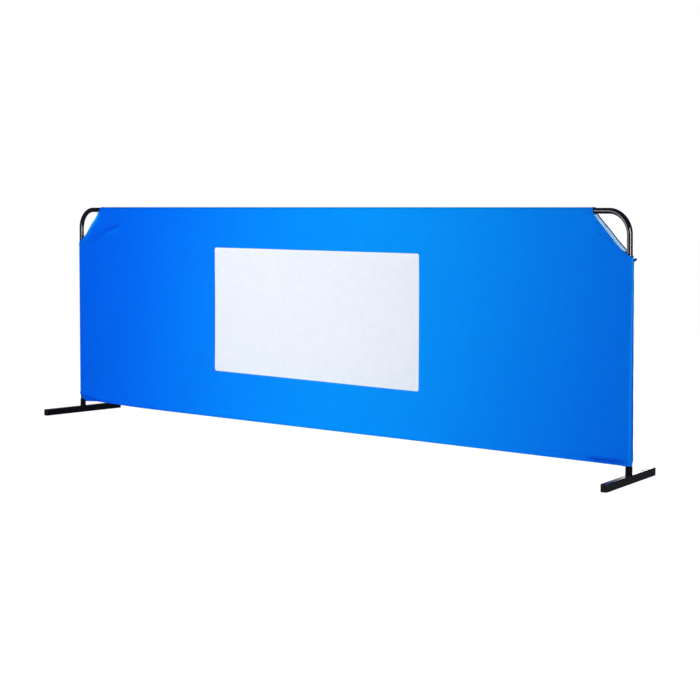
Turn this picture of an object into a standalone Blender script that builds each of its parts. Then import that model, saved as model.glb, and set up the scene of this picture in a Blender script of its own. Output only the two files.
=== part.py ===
"""Table tennis court barrier: a cloth cover stretched on a bent tube frame with two swivel feet.

Metres, +Z up. X runs along the panel, -Y is its front, the floor is Z = 0.
The frame is two bent half frames joined by inner ferrules at mid span, each with a coped and
welded bottom rail. Each upright stands in a round socket welded on a foot bar of rectangular
tube. The foot turns there on a vertical pivot screw, driven from below into a plug in the upright.
"""

import math

import bmesh
import bpy
from mathutils import Matrix, Vector

# Running clearances between pieces that touch, and the overrun of every cutter
GAP = 0.0003
OVERRUN = 0.004

# Frame tube
FRAME_HEIGHT = 0.733
POST_SPACING = 2.312
TUBE_OD = 0.016
TUBE_WALL = 0.0012
CORNER_BEND_RADIUS = 0.065
RAIL_AXIS_HEIGHT = 0.055
TUBE_SIDES = 24
BEND_STEPS = 14

# Ferrules that join the half frames, and their screws
FERRULE_LENGTH = 0.160
FERRULE_WALL = 0.0012
FERRULE_LEAD_IN = 0.0010
FERRULE_SCREW_SETBACK = 0.050
FERRULE_SCREW_D = 0.004
FERRULE_SCREW_HEAD_D = 0.0075
FERRULE_SCREW_HEAD_H = 0.0022
FERRULE_SCREW_TIP = 0.0040
FERRULE_HEAD_SHARES = ((1.0, 0.45), (0.82, 0.85), (0.5, 1.0))
SCREW_POINT_SHARE = 0.6

# Foot bar: rectangular tube, as it stands on the floor, turned about its post
FOOT_LENGTH = 0.325
FOOT_WIDTH = 0.019
FOOT_HEIGHT = 0.022
FOOT_WALL = 0.0015
FOOT_CORNER_RADIUS = 0.0020
FOOT_INNER_RADIUS = 0.0006
LEFT_FOOT_TURN = math.radians(-2.0)
RIGHT_FOOT_TURN = math.radians(10.0)

# End caps of the foot bar
CAP_FLANGE = 0.0025
CAP_EDGE_RADIUS = 0.0008
CAP_PLUG_LENGTH = 0.014
CAP_PLUG_WALL = 0.0016
CAP_RIB_PITCH = 0.004
CAP_RIB_WIDTH = 0.0012
CAP_RIB_HEIGHT = 0.0005

# Socket that takes the upright, welded on the foot bar
SOCKET_OD = 0.019
SOCKET_WALL = 0.0012
SOCKET_TOP_HEIGHT = 0.046
SOCKET_RIM_CHAMFER = 0.0005

# Pivot screw, its washers and the plug in the upright
PIVOT_SCREW_D = 0.006
PIVOT_HEAD_D = 0.0100
PIVOT_HEAD_H = 0.0040
PIVOT_HEAD_EDGE = 0.0005
PIVOT_DRIVE_D = 0.0050
PIVOT_DRIVE_DEPTH = 0.0024
PIVOT_SCREW_THREAD_LENGTH = 0.0200
ACCESS_HOLE_D = 0.0120
WASHER_OD = 0.0120
WASHER_THICKNESS = 0.0010
THRUST_WASHER_THICKNESS = 0.0010
PLUG_LENGTH = 0.014
PLUG_CHAMFER = 0.0010

# Cloth cover
CLOTH = 0.0010
COVER_EASE = 0.0005
SEAM_TURN = math.radians(25.0)
CORNER_CUT_TOP = 0.112
CORNER_CUT_SIDE = 0.1215
HEM_POST_CLEARANCE = 0.006
HEM_FLAP_HEIGHT = 0.028
TAPE_WIDTH = 0.022
TAPE_THICKNESS = 0.0009
TAPE_END_MARGIN = 0.030
BINDING_CLOTH = 0.0008
BINDING_ARC = math.radians(36.0)
BINDING_END_MARGIN = 0.003
CUT_HEM_WIDTH = 0.008
CUT_HEM_CLOTH = 0.0008
CUT_HEM_TUBE_CLEARANCE = 0.003
WRAP_STEPS = 8

# Finishes: linear colour, roughness and metallic share
FRAME_PAINT = ((0.012, 0.012, 0.014), 0.22, 0.0)
FOOT_PAINT = ((0.010, 0.010, 0.011), 0.38, 0.0)
CAP_PLASTIC = ((0.020, 0.020, 0.022), 0.55, 0.0)
NYLON = ((0.72, 0.71, 0.66), 0.55, 0.0)
ZINC = ((0.42, 0.43, 0.45), 0.35, 1.0)
COVER_CLOTH = ((0.0, 0.16, 0.86), 0.80, 0.0)
LINING_CLOTH = ((0.40, 0.61, 0.95), 0.80, 0.0)
BINDING_TAPE = ((0.004, 0.045, 0.38), 0.80, 0.0)
CLOSURE_TAPE = ((0.015, 0.016, 0.020), 0.80, 0.0)

# Sizes that follow from the ones above
TUBE_R = TUBE_OD / 2
BORE_R = TUBE_R - TUBE_WALL
HALF_SPACING = POST_SPACING / 2
TOP_AXIS_HEIGHT = FRAME_HEIGHT - TUBE_R
FERRULE_R = BORE_R - GAP
SOCKET_R = SOCKET_OD / 2
SOCKET_BORE_R = SOCKET_R - SOCKET_WALL
SOCKET_BASE_HEIGHT = FOOT_HEIGHT + GAP
THRUST_WASHER_HEIGHT = FOOT_HEIGHT + GAP
PIVOT_WASHER_HEIGHT = FOOT_HEIGHT - FOOT_WALL - GAP - WASHER_THICKNESS
PIVOT_SEAT_HEIGHT = PIVOT_WASHER_HEIGHT - GAP
UPRIGHT_END_HEIGHT = THRUST_WASHER_HEIGHT + THRUST_WASHER_THICKNESS + GAP
CLOTH_IN = TUBE_R + COVER_EASE
CLOTH_OUT = CLOTH_IN + CLOTH
LOOP_TAPE_IN = CLOTH_OUT + GAP
HOOK_TAPE_IN = LOOP_TAPE_IN + TAPE_THICKNESS + GAP
FLAP_BACK_IN = HOOK_TAPE_IN + TAPE_THICKNESS + GAP
FLAP_BACK_OUT = FLAP_BACK_IN + CLOTH
HEM_HALF_WIDTH = HALF_SPACING - SOCKET_R - HEM_POST_CLEARANCE
CUT_TOP_X = HALF_SPACING - CORNER_CUT_TOP
CUT_SIDE_Z = TOP_AXIS_HEIGHT - CORNER_CUT_SIDE


def foot_reach(turn):
    """How far a foot turned by this angle reaches along X from its post's axis."""
    along = FOOT_LENGTH / 2 - FOOT_CORNER_RADIUS
    across = FOOT_WIDTH / 2 - FOOT_CORNER_RADIUS
    return along * abs(math.sin(turn)) + across * math.cos(turn) + FOOT_CORNER_RADIUS


# The origin is the middle of the object's floor area, feet turned as they stand
PANEL_CENTRE_X = (foot_reach(LEFT_FOOT_TURN) - foot_reach(RIGHT_FOOT_TURN)) / 2


def clear_scene():
    """Remove every object of the open file."""
    for item in list(bpy.data.objects):
        bpy.data.objects.remove(item, do_unlink=True)


def finish(name, look):
    """A Principled material with one colour, roughness and metallic share."""
    colour, roughness, metallic = look
    material = bpy.data.materials.new(name)
    material.use_nodes = True
    shader = material.node_tree.nodes["Principled BSDF"]
    shader.inputs["Base Color"].default_value = (*colour, 1.0)
    shader.inputs["Roughness"].default_value = roughness
    shader.inputs["Metallic"].default_value = metallic
    return material


def empty(name, parent=None, location=(0, 0, 0), turn=0.0):
    """An empty that carries the pieces of one sub-assembly."""
    item = bpy.data.objects.new(name, None)
    bpy.context.collection.objects.link(item)
    item.parent = parent
    item.location = location
    item.rotation_euler = (0, 0, turn)
    return item


def place(bm, name, parent, material=None, location=(0, 0, 0), smooth_under=math.radians(35)):
    """Turn a bmesh into a named object under its sub-assembly's empty."""
    bmesh.ops.recalc_face_normals(bm, faces=bm.faces)
    mesh = bpy.data.meshes.new(name)
    bm.to_mesh(mesh)
    bm.free()
    mesh.shade_smooth()
    mesh.set_sharp_from_angle(angle=smooth_under)
    item = bpy.data.objects.new(name, mesh)
    bpy.context.collection.objects.link(item)
    item.parent = parent
    item.location = location
    if material:
        mesh.materials.append(material)
    return item


def cut(item, cutter):
    """Take a guide solid away from a piece and keep the guide out of the model."""
    cutter.hide_render = True
    cutter.display_type = "WIRE"
    modifier = item.modifiers.new("cut_" + cutter.name, "BOOLEAN")
    modifier.operation = "DIFFERENCE"
    modifier.solver = "EXACT"
    modifier.object = cutter


def circle(radius, sides):
    """Points of a round section, counted from its first axis."""
    step = 2 * math.pi / sides
    return [(radius * math.cos(step * i), radius * math.sin(step * i)) for i in range(sides)]


def rounded_section(inset, radius, steps=4):
    """Points of the foot bar's outline moved inwards, with round corners."""
    points = []
    middle_x = FOOT_WIDTH / 2 - inset - radius
    middle_y = FOOT_HEIGHT / 2 - inset - radius
    for corner, (sx, sy) in enumerate(((1, 1), (-1, 1), (-1, -1), (1, -1))):
        for i in range(steps + 1):
            angle = math.pi / 2 * (corner + i / steps)
            points.append((sx * middle_x + radius * math.cos(angle),
                           sy * middle_y + radius * math.sin(angle)))
    return points


def skin(stations, bores=None):
    """A closed solid through a list of rings of points; a second list gives it an open bore."""
    bm = bmesh.new()

    def rings(rows):
        return [[bm.verts.new(point) for point in row] for row in rows]

    def walls(rows):
        for lower, upper in zip(rows, rows[1:]):
            count = len(lower)
            for i in range(count):
                j = (i + 1) % count
                bm.faces.new((lower[i], lower[j], upper[j], upper[i]))

    outer = rings(stations)
    walls(outer)
    if bores:
        inner = rings(bores)
        walls(inner)
        for row, hole in ((outer[0], inner[0]), (outer[-1], inner[-1])):
            for i in range(len(row)):
                j = (i + 1) % len(row)
                bm.faces.new((row[i], row[j], hole[j], hole[i]))
    else:
        bm.faces.new(outer[0])
        bm.faces.new(outer[-1])
    return bm


def ring(section, centre, first, second):
    """A section's points in space, on two axes about a centre."""
    return [centre + first * a + second * b for a, b in section]


def straight(section, start, end, first, second):
    """The two rings of a straight run of one section."""
    return [ring(section, Vector(start), first, second), ring(section, Vector(end), first, second)]


X, Y, Z = Vector((1, 0, 0)), Vector((0, 1, 0)), Vector((0, 0, 1))


def turned(profile, sides):
    """A solid turned about Z from a profile of radius and height; radius 0 lies on the axis."""
    bm = bmesh.new()
    corners = [bm.verts.new((radius, 0, height)) for radius, height in profile]
    closed = profile[0][0] > 0
    pairs = list(zip(corners, corners[1:]))
    if closed:
        pairs.append((corners[-1], corners[0]))
    edges = [bm.edges.new(pair) for pair in pairs]
    bmesh.ops.spin(bm, geom=corners + edges, cent=(0, 0, 0), axis=(0, 0, 1), angle=2 * math.pi,
                   steps=sides, use_merge=True)
    bmesh.ops.remove_doubles(bm, verts=bm.verts, dist=GAP / 100)
    return bm


def rod(radius, low, high, sides=TUBE_SIDES):
    """A plain round bar on Z, for holes."""
    return turned([(0, low), (radius, low), (radius, high), (0, high)], sides)


def box(low, high):
    """A plain block between two corners."""
    bm = bmesh.new()
    bmesh.ops.create_cube(bm, size=1.0)
    centre = (Vector(low) + Vector(high)) / 2
    size = Vector(high) - Vector(low)
    matrix = Matrix.Translation(centre) @ Matrix.Diagonal((*size, 1))
    bmesh.ops.transform(bm, matrix=matrix, verts=bm.verts)
    return bm


def arc(centre, radius, start, end, steps):
    """Points of an arc, ends included."""
    angles = [start + (end - start) * i / steps for i in range(steps + 1)]
    return [(centre[0] + radius * math.cos(angle), centre[1] + radius * math.sin(angle)) for angle in angles]


def extruded(outline, start, end, first, second):
    """An outline in two axes, run from one point to another."""
    return skin(straight(outline, start, end, first, second))


def turn_over(bm, matrix):
    """Turn a shape that was made about Z."""
    bmesh.ops.transform(bm, matrix=matrix, verts=bm.verts)
    return bm


def half_frame_path(side):
    """Centre and in-plane axis along one bent half frame, from the floor end to mid span."""
    foot = Vector((side * HALF_SPACING, 0, UPRIGHT_END_HEIGHT))
    bend_x = side * (HALF_SPACING - CORNER_BEND_RADIUS)
    bend_centre = Vector((bend_x, 0, TOP_AXIS_HEIGHT - CORNER_BEND_RADIUS))
    path = [(foot, X * side)]
    for i in range(BEND_STEPS + 1):
        angle = math.pi / 2 * i / BEND_STEPS
        outward = X * (side * math.cos(angle)) + Z * math.sin(angle)
        path.append((bend_centre + outward * CORNER_BEND_RADIUS, outward))
    path.append((Vector((side * GAP / 2, 0, TOP_AXIS_HEIGHT)), Z.copy()))
    return path


def frame_tube(word, side, parent, material):
    """Upright, corner bend and half the top rail, bent from one tube."""
    path = half_frame_path(side)
    outer = [ring(circle(TUBE_R, TUBE_SIDES), centre, outward, Y) for centre, outward in path]
    bore = [ring(circle(BORE_R, TUBE_SIDES), centre, outward, Y) for centre, outward in path]
    tube = place(skin(outer, bore), f"frame_tube_{word}", parent, material)
    hole = place(rod(FERRULE_SCREW_D / 2 + GAP, -TUBE_OD, 0), f"top_screw_hole_{word}", parent,
                 location=(side * FERRULE_SCREW_SETBACK, 0, TOP_AXIS_HEIGHT))
    cut(tube, hole)
    return tube


def bottom_rail(word, side, parent, material):
    """Half the bottom rail, coped to the upright at one end."""
    span = ((side * GAP / 2, 0, RAIL_AXIS_HEIGHT), (side * HALF_SPACING, 0, RAIL_AXIS_HEIGHT))
    rail = place(skin(straight(circle(TUBE_R, TUBE_SIDES), *span, Y, Z),
                      straight(circle(BORE_R, TUBE_SIDES), *span, Y, Z)),
                 f"bottom_rail_{word}", parent, material)
    cope = place(rod(TUBE_R + GAP, -TUBE_OD, TUBE_OD, 2 * TUBE_SIDES), f"cope_{word}", parent,
                 location=(side * HALF_SPACING, 0, RAIL_AXIS_HEIGHT))
    hole = place(rod(FERRULE_SCREW_D / 2 + GAP, 0, TUBE_OD), f"bottom_screw_hole_{word}", parent,
                 location=(side * FERRULE_SCREW_SETBACK, 0, RAIL_AXIS_HEIGHT))
    cut(rail, cope)
    cut(rail, hole)
    return rail


def ferrule(word, height, screw_side, parent, material):
    """Inner sleeve with tapered ends that carries both halves of a rail."""
    half = FERRULE_LENGTH / 2
    stations = ((-half, FERRULE_R - FERRULE_LEAD_IN / 2), (-half + FERRULE_LEAD_IN, FERRULE_R),
                (half - FERRULE_LEAD_IN, FERRULE_R), (half, FERRULE_R - FERRULE_LEAD_IN / 2))
    bore = circle(FERRULE_R - FERRULE_WALL, TUBE_SIDES)
    outer = [ring(circle(radius, TUBE_SIDES), X * x, Y, Z) for x, radius in stations]
    inner = [ring(bore, X * x, Y, Z) for x, radius in stations]
    sleeve = place(skin(outer, inner), f"{word}_ferrule", parent, material, location=(0, 0, height))
    for hole_word, side in (("left", -1), ("right", 1)):
        low, high = (-TUBE_OD, 0) if screw_side < 0 else (0, TUBE_OD)
        hole = place(rod(FERRULE_SCREW_D / 2 + GAP, low, high), f"{word}_ferrule_hole_{hole_word}", parent,
                     location=(side * FERRULE_SCREW_SETBACK, 0, height))
        cut(sleeve, hole)
    return sleeve


def ferrule_screw(name, x, height, up, parent, material):
    """Pan head screw through tube and ferrule; up is the side that its head is on."""
    seat = TUBE_R + GAP
    head_r = FERRULE_SCREW_HEAD_D / 2
    crown = seat + FERRULE_SCREW_HEAD_H
    shank_r = FERRULE_SCREW_D / 2
    through = FERRULE_R - FERRULE_WALL
    tip = through - FERRULE_SCREW_TIP
    profile = [(0, tip), (shank_r * SCREW_POINT_SHARE, tip), (shank_r, through - FERRULE_SCREW_TIP / 2),
               (shank_r, seat), (head_r, seat)]
    for wide, tall in FERRULE_HEAD_SHARES:
        profile.append((head_r * wide, seat + FERRULE_SCREW_HEAD_H * tall))
    profile.append((0, crown))
    bm = turned(profile, TUBE_SIDES // 2)
    if up < 0:
        turn_over(bm, Matrix.Rotation(math.pi, 4, "X"))
    return place(bm, name, parent, material, location=(x, 0, height))


def upright_plug(word, parent, material):
    """Threaded plug pressed into the upright's lower end."""
    radius = BORE_R - GAP
    hole = PIVOT_SCREW_D / 2 + GAP
    low = UPRIGHT_END_HEIGHT
    high = low + PLUG_LENGTH
    profile = [(hole, low), (radius, low), (radius, high - PLUG_CHAMFER),
               (radius - PLUG_CHAMFER, high), (hole, high)]
    return place(turned(profile, TUBE_SIDES), f"upright_plug_{word}", parent, material)


def pivot_screw(word, parent, material):
    """Vertical screw that the foot turns on, its head up inside the foot bar."""
    seat = PIVOT_SEAT_HEIGHT
    low = seat - PIVOT_HEAD_H
    tip = seat + PIVOT_SCREW_THREAD_LENGTH
    head = PIVOT_HEAD_D / 2
    shank = PIVOT_SCREW_D / 2
    drive = PIVOT_DRIVE_D / 2
    profile = [(0, low + PIVOT_DRIVE_DEPTH), (drive, low + PIVOT_DRIVE_DEPTH), (drive, low),
               (head - PIVOT_HEAD_EDGE, low), (head, low + PIVOT_HEAD_EDGE), (head, seat),
               (shank, seat), (shank, tip - shank / 2), (shank / 2, tip), (0, tip)]
    return place(turned(profile, TUBE_SIDES), f"pivot_screw_{word}", parent, material)


def foot_bar(word, parent, material):
    """Rectangular tube with the pivot screw's hole in its top wall and an access hole below."""
    half = FOOT_LENGTH / 2 - CAP_FLANGE - GAP
    centre_height = FOOT_HEIGHT / 2
    ends = ((0, -half, centre_height), (0, half, centre_height))
    outer = straight(rounded_section(0, FOOT_CORNER_RADIUS), *ends, X, Z)
    inner = straight(rounded_section(FOOT_WALL, FOOT_INNER_RADIUS), *ends, X, Z)
    bar = place(skin(outer, inner), f"foot_bar_{word}", parent, material)
    top_hole = place(rod(PIVOT_SCREW_D / 2 + GAP, centre_height, FOOT_HEIGHT + OVERRUN),
                     f"pivot_hole_{word}", parent)
    access = place(rod(ACCESS_HOLE_D / 2, -OVERRUN, centre_height), f"access_hole_{word}", parent)
    cut(bar, top_hole)
    cut(bar, access)
    return bar


def foot_socket(word, parent, material):
    """Round socket on the bar, with a chamfered rim."""
    low, high = SOCKET_BASE_HEIGHT, SOCKET_TOP_HEIGHT
    chamfer = SOCKET_RIM_CHAMFER
    profile = [(SOCKET_BORE_R, low), (SOCKET_R, low), (SOCKET_R, high - chamfer),
               (SOCKET_R - chamfer, high), (SOCKET_BORE_R, high)]
    return place(turned(profile, 2 * TUBE_SIDES), f"foot_socket_{word}", parent, material)


def washer(name, hole_r, radius, low, thickness, parent, material):
    """Flat washer on the pivot's axis."""
    profile = [(hole_r, low), (radius, low), (radius, low + thickness), (hole_r, low + thickness)]
    return place(turned(profile, TUBE_SIDES), name, parent, material)


def foot_cap(word, end_word, end, parent, material):
    """Moulded end cap: a flange with eased edges and a hollow ribbed plug inside the bar."""
    flange_in = FOOT_LENGTH / 2 - CAP_FLANGE
    rib_inset = FOOT_WALL + GAP
    core_inset = rib_inset + CAP_RIB_HEIGHT
    core_radius = FOOT_INNER_RADIUS
    centre = Z * (FOOT_HEIGHT / 2)
    rings = []

    def station(distance, inset, radius):
        rings.append(ring(rounded_section(inset, radius), centre + Y * (end * distance), X, Z))

    face = FOOT_LENGTH / 2
    station(face, CAP_EDGE_RADIUS, FOOT_CORNER_RADIUS - CAP_EDGE_RADIUS)
    station(face - CAP_EDGE_RADIUS, 0, FOOT_CORNER_RADIUS)
    station(flange_in, 0, FOOT_CORNER_RADIUS)
    station(flange_in, core_inset, core_radius)
    distance = flange_in - CAP_RIB_WIDTH
    while distance - CAP_RIB_WIDTH > flange_in - CAP_PLUG_LENGTH:
        station(distance, core_inset, core_radius)
        station(distance, rib_inset, core_radius)
        station(distance - CAP_RIB_WIDTH, core_inset, core_radius)
        distance -= CAP_RIB_PITCH
    tip = flange_in - CAP_PLUG_LENGTH
    station(tip, core_inset, core_radius)
    hollow_inset = core_inset + CAP_PLUG_WALL
    station(tip, hollow_inset, core_radius)
    station(flange_in, hollow_inset, core_radius)
    return place(skin(rings), f"foot_cap_{word}_{end_word}", parent, material)


def corner_window(name, side, parent):
    """Guide prism of one corner of the cover that is cut away."""
    high = FRAME_HEIGHT + OVERRUN
    far = HALF_SPACING + TUBE_OD + OVERRUN
    outline = [(side * CUT_TOP_X, TOP_AXIS_HEIGHT), (side * HALF_SPACING, CUT_SIDE_Z),
               (side * far, CUT_SIDE_Z), (side * far, high), (side * CUT_TOP_X, high)]
    deep = FLAP_BACK_OUT + OVERRUN
    return place(extruded(outline, Y * -deep, Y * deep, X, Z), name, parent)


def cover_panel(word, face, parent, material):
    """Front or back cloth: flat between the uprights, wrapped round each as far as the seam behind."""
    low = RAIL_AXIS_HEIGHT + GAP
    high = TOP_AXIS_HEIGHT - GAP
    seam = GAP / 2
    outline = []
    for radius, order in ((CLOTH_OUT, 1), (CLOTH_IN, -1)):
        seam_turn = face * SEAM_TURN + math.asin(seam / radius)
        right = arc((HALF_SPACING, 0), radius, seam_turn, math.pi / 2, WRAP_STEPS)
        left = [(-x, y) for x, y in reversed(right)]
        outline += [(x, face * y) for x, y in (right + left)[::order]]
    cloth = place(extruded(outline, Z * low, Z * high, X, Y), f"cover_{word}", parent, material)
    for side_word, side in (("left", -1), ("right", 1)):
        cut(cloth, corner_window(f"window_{word}_{side_word}", side, parent))
    return cloth


def sleeve_outline(centre, radius_y, radius_z, cloth, start, end, legs=0.0):
    """Section of cloth of one thickness round a rail, with a straight leg past its second end."""
    outer, inner = [], []
    for c, s in arc((0, 0), 1, start, end, 2 * WRAP_STEPS):
        outer.append((centre[0] + (radius_y + cloth) * c, centre[1] + (radius_z + cloth) * s))
        inner.append((centre[0] + radius_y * c, centre[1] + radius_z * s))
    if legs:
        outer.append((outer[-1][0], outer[-1][1] + legs))
        inner.append((inner[-1][0], inner[-1][1] + legs))
    return outer + inner[::-1]


def cover_top_band(parent, material):
    """Cloth over the top rail, between the corner windows."""
    outline = sleeve_outline((0, TOP_AXIS_HEIGHT), CLOTH_IN, CLOTH_IN, CLOTH, 0, math.pi)
    band = extruded(outline, X * -CUT_TOP_X, X * CUT_TOP_X, Y, Z)
    return place(band, "cover_top_band", parent, material)


def hem_flap(parent, material):
    """Cloth under the bottom rail, from the front panel's edge up over the back panel's foot."""
    centre_y = (FLAP_BACK_IN - CLOTH_IN) / 2
    radius_y = (FLAP_BACK_IN + CLOTH_IN) / 2
    outline = sleeve_outline((centre_y, RAIL_AXIS_HEIGHT), radius_y, CLOTH_IN, CLOTH,
                             math.pi, 2 * math.pi, HEM_FLAP_HEIGHT)
    flap = extruded(outline, X * -HEM_HALF_WIDTH, X * HEM_HALF_WIDTH, Y, Z)
    return place(flap, "hem_flap", parent, material)


def closure_tape(name, inner_y, parent, material):
    """One half of the hook and loop closure along the hem's back."""
    half = HEM_HALF_WIDTH - TAPE_END_MARGIN
    low = RAIL_AXIS_HEIGHT + (HEM_FLAP_HEIGHT - TAPE_WIDTH) / 2
    strip = box((-half, inner_y, low), (half, inner_y + TAPE_THICKNESS, low + TAPE_WIDTH))
    return place(strip, name, parent, material)


def side_binding(word, side, parent, material):
    """Binding tape sewn over the side seam, behind the outer side of an upright."""
    inner = CLOTH_OUT + GAP
    outer = inner + BINDING_CLOTH
    low_turn = SEAM_TURN - BINDING_ARC / 2
    high_turn = SEAM_TURN + BINDING_ARC / 2
    outline = arc((0, 0), outer, low_turn, high_turn, WRAP_STEPS)
    outline += arc((0, 0), inner, high_turn, low_turn, WRAP_STEPS)
    outline = [(side * a, b) for a, b in outline]
    start = X * (side * HALF_SPACING)
    low = RAIL_AXIS_HEIGHT + BINDING_END_MARGIN
    high = CUT_SIDE_Z - BINDING_END_MARGIN
    bm = extruded(outline, start + Z * low, start + Z * high, X, Y)
    return place(bm, f"side_binding_{word}", parent, material)


def cut_hem(word, side_word, side, face, parent, material):
    """Hem sewn inside a corner's diagonal edge, clear of both tubes."""
    upper = Vector((CUT_TOP_X, 0, TOP_AXIS_HEIGHT))
    lower = Vector((HALF_SPACING, 0, CUT_SIDE_Z))
    along = (lower - upper).normalized()
    inward = Vector((along.z, 0, -along.x))
    clear = TUBE_R + CUT_HEM_TUBE_CLEARANCE
    start = upper + along * (clear / -along.z)
    end = lower - along * ((clear + CUT_HEM_WIDTH * -along.z) / along.x)
    points = [start, end, end + inward * CUT_HEM_WIDTH, start + inward * CUT_HEM_WIDTH]
    outline = [(side * point.x, point.z) for point in points]
    outer = CLOTH_IN - GAP
    bm = extruded(outline, Y * (face * (outer - CUT_HEM_CLOTH)), Y * (face * outer), X, Z)
    return place(bm, f"cut_hem_{word}_{side_word}", parent, material)


def build_frame(centre):
    """Half frames, rails, ferrules and their screws."""
    paint = finish("frame_paint", FRAME_PAINT)
    zinc = finish("zinc", ZINC)
    for word, side in (("left", -1), ("right", 1)):
        frame_tube(word, side, centre, paint)
        bottom_rail(word, side, centre, paint)
        x = side * FERRULE_SCREW_SETBACK
        ferrule_screw(f"ferrule_screw_top_{word}", x, TOP_AXIS_HEIGHT, -1, centre, zinc)
        ferrule_screw(f"ferrule_screw_bottom_{word}", x, RAIL_AXIS_HEIGHT, 1, centre, zinc)
    ferrule("top", TOP_AXIS_HEIGHT, -1, centre, zinc)
    ferrule("bottom", RAIL_AXIS_HEIGHT, 1, centre, zinc)


def build_foot(word, side, turn, centre):
    """One foot about its post, and the pivot parts that stay with the frame."""
    post = empty(f"{word}_post", centre, (side * HALF_SPACING, 0, 0))
    swivel = empty(f"{word}_swivel", post, turn=turn)
    paint = finish(f"foot_paint_{word}", FOOT_PAINT)
    plastic = finish(f"cap_plastic_{word}", CAP_PLASTIC)
    zinc = finish(f"pivot_zinc_{word}", ZINC)
    nylon = finish(f"nylon_{word}", NYLON)
    foot_bar(word, swivel, paint)
    foot_socket(word, swivel, paint)
    for end_word, end in (("front", -1), ("back", 1)):
        foot_cap(word, end_word, end, swivel, plastic)
    hole = PIVOT_SCREW_D / 2 + GAP
    washer(f"screw_washer_{word}", hole, WASHER_OD / 2, PIVOT_WASHER_HEIGHT,
           WASHER_THICKNESS, swivel, zinc)
    washer(f"thrust_washer_{word}", hole, SOCKET_BORE_R - GAP, THRUST_WASHER_HEIGHT,
           THRUST_WASHER_THICKNESS, swivel, nylon)
    upright_plug(word, post, zinc)
    pivot_screw(word, post, zinc)


def build_cover(centre):
    """The sewn cloth cover."""
    cloth = finish("cover_cloth", COVER_CLOTH)
    lining = finish("lining_cloth", LINING_CLOTH)
    binding = finish("binding_cloth", BINDING_TAPE)
    tape = finish("closure_tape", CLOSURE_TAPE)
    cover_top_band(centre, cloth)
    hem_flap(centre, cloth)
    closure_tape("loop_tape", LOOP_TAPE_IN, centre, tape)
    closure_tape("hook_tape", HOOK_TAPE_IN, centre, tape)
    for word, face in (("front", -1), ("back", 1)):
        cover_panel(word, face, centre, cloth)
        for side_word, side in (("left", -1), ("right", 1)):
            cut_hem(word, side_word, side, face, centre, lining)
    for word, side in (("left", -1), ("right", 1)):
        side_binding(word, side, centre, binding)


clear_scene()
frame_centre = empty("frame_centre", location=(PANEL_CENTRE_X, 0, 0))
build_frame(frame_centre)
build_foot("left", -1, LEFT_FOOT_TURN, frame_centre)
build_foot("right", 1, RIGHT_FOOT_TURN, frame_centre)
build_cover(frame_centre)
print(f"panel centre X {PANEL_CENTRE_X:.6f}, upright ends {UPRIGHT_END_HEIGHT:.4f} above the floor")
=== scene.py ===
"""Looks of a table tennis court barrier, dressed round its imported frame.

The frame gives every place and size. The scene adds the stretched, sewn cover with its folds, hems,
bindings and stitches, smooth glossy tubes, weld beads and all finishes, and a plain white studio with
the camera at the photograph's view. Metres throughout: X along the panel, -Y its front, +Z up.
"""

import logging
import math
from collections.abc import Iterable, Sequence
from dataclasses import dataclass, field
from enum import Enum
from typing import Any

import bmesh
import bpy
import numpy as np
from mathutils import Matrix, Vector


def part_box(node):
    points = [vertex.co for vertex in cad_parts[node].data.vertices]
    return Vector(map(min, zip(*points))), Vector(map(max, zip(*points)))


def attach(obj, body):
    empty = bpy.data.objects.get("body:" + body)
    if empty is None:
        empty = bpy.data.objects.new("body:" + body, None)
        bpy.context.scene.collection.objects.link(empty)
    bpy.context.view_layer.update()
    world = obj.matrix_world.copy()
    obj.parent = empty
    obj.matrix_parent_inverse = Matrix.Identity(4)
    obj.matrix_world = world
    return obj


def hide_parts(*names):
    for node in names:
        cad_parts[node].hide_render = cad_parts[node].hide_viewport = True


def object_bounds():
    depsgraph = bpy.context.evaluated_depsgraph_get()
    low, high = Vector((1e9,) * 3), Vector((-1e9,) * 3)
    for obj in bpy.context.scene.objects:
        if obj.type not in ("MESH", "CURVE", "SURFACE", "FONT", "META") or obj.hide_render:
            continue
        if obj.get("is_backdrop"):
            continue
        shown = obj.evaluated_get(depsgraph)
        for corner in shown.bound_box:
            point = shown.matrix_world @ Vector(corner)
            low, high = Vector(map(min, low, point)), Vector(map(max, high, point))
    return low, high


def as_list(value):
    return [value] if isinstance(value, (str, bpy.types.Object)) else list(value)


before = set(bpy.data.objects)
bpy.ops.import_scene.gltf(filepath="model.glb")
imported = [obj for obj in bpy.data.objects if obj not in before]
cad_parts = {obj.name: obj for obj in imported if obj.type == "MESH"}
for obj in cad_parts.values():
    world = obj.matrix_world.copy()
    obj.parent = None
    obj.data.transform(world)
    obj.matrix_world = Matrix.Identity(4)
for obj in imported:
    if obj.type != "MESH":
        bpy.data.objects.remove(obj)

LOG = logging.getLogger("barrier")
# Most of a noise's values lie between these.
NOISE = (0.3, 0.7)
# A stretch may be this share of a step too long before it gets one step more.
STEP_SLIP = 1e-9
# Digits to which places in metres are rounded where two of them have to agree.
DIGITS = 4

Colour = tuple[float, float, float]
Place = tuple[float, float]
Grid = np.ndarray
Item = bpy.types.Object
Mesh = bpy.types.Mesh
Socket = bpy.types.NodeSocket


class Body(str, Enum):
    """The frame's moving bodies."""

    FRAME = "frame"
    LEFT_FOOT = "left_foot"
    RIGHT_FOOT = "right_foot"


class Slot(str, Enum):
    """Names of the material slots."""

    FRAME_PAINT = "frame_paint"
    FOOT_PAINT = "foot_paint"
    CAP_PLASTIC = "cap_plastic"
    NYLON = "nylon"
    ZINC = "zinc_steel"
    COVER = "cover_cloth"
    LINING = "lining_cloth"
    BINDING = "binding_cloth"
    TAPE = "closure_tape"


class Half(Enum):
    """One of two halves, which nodes and pieces have in their names."""

    @property
    def word(self) -> str:
        """The half's name as nodes and pieces have it."""
        return self.name.lower()


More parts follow.
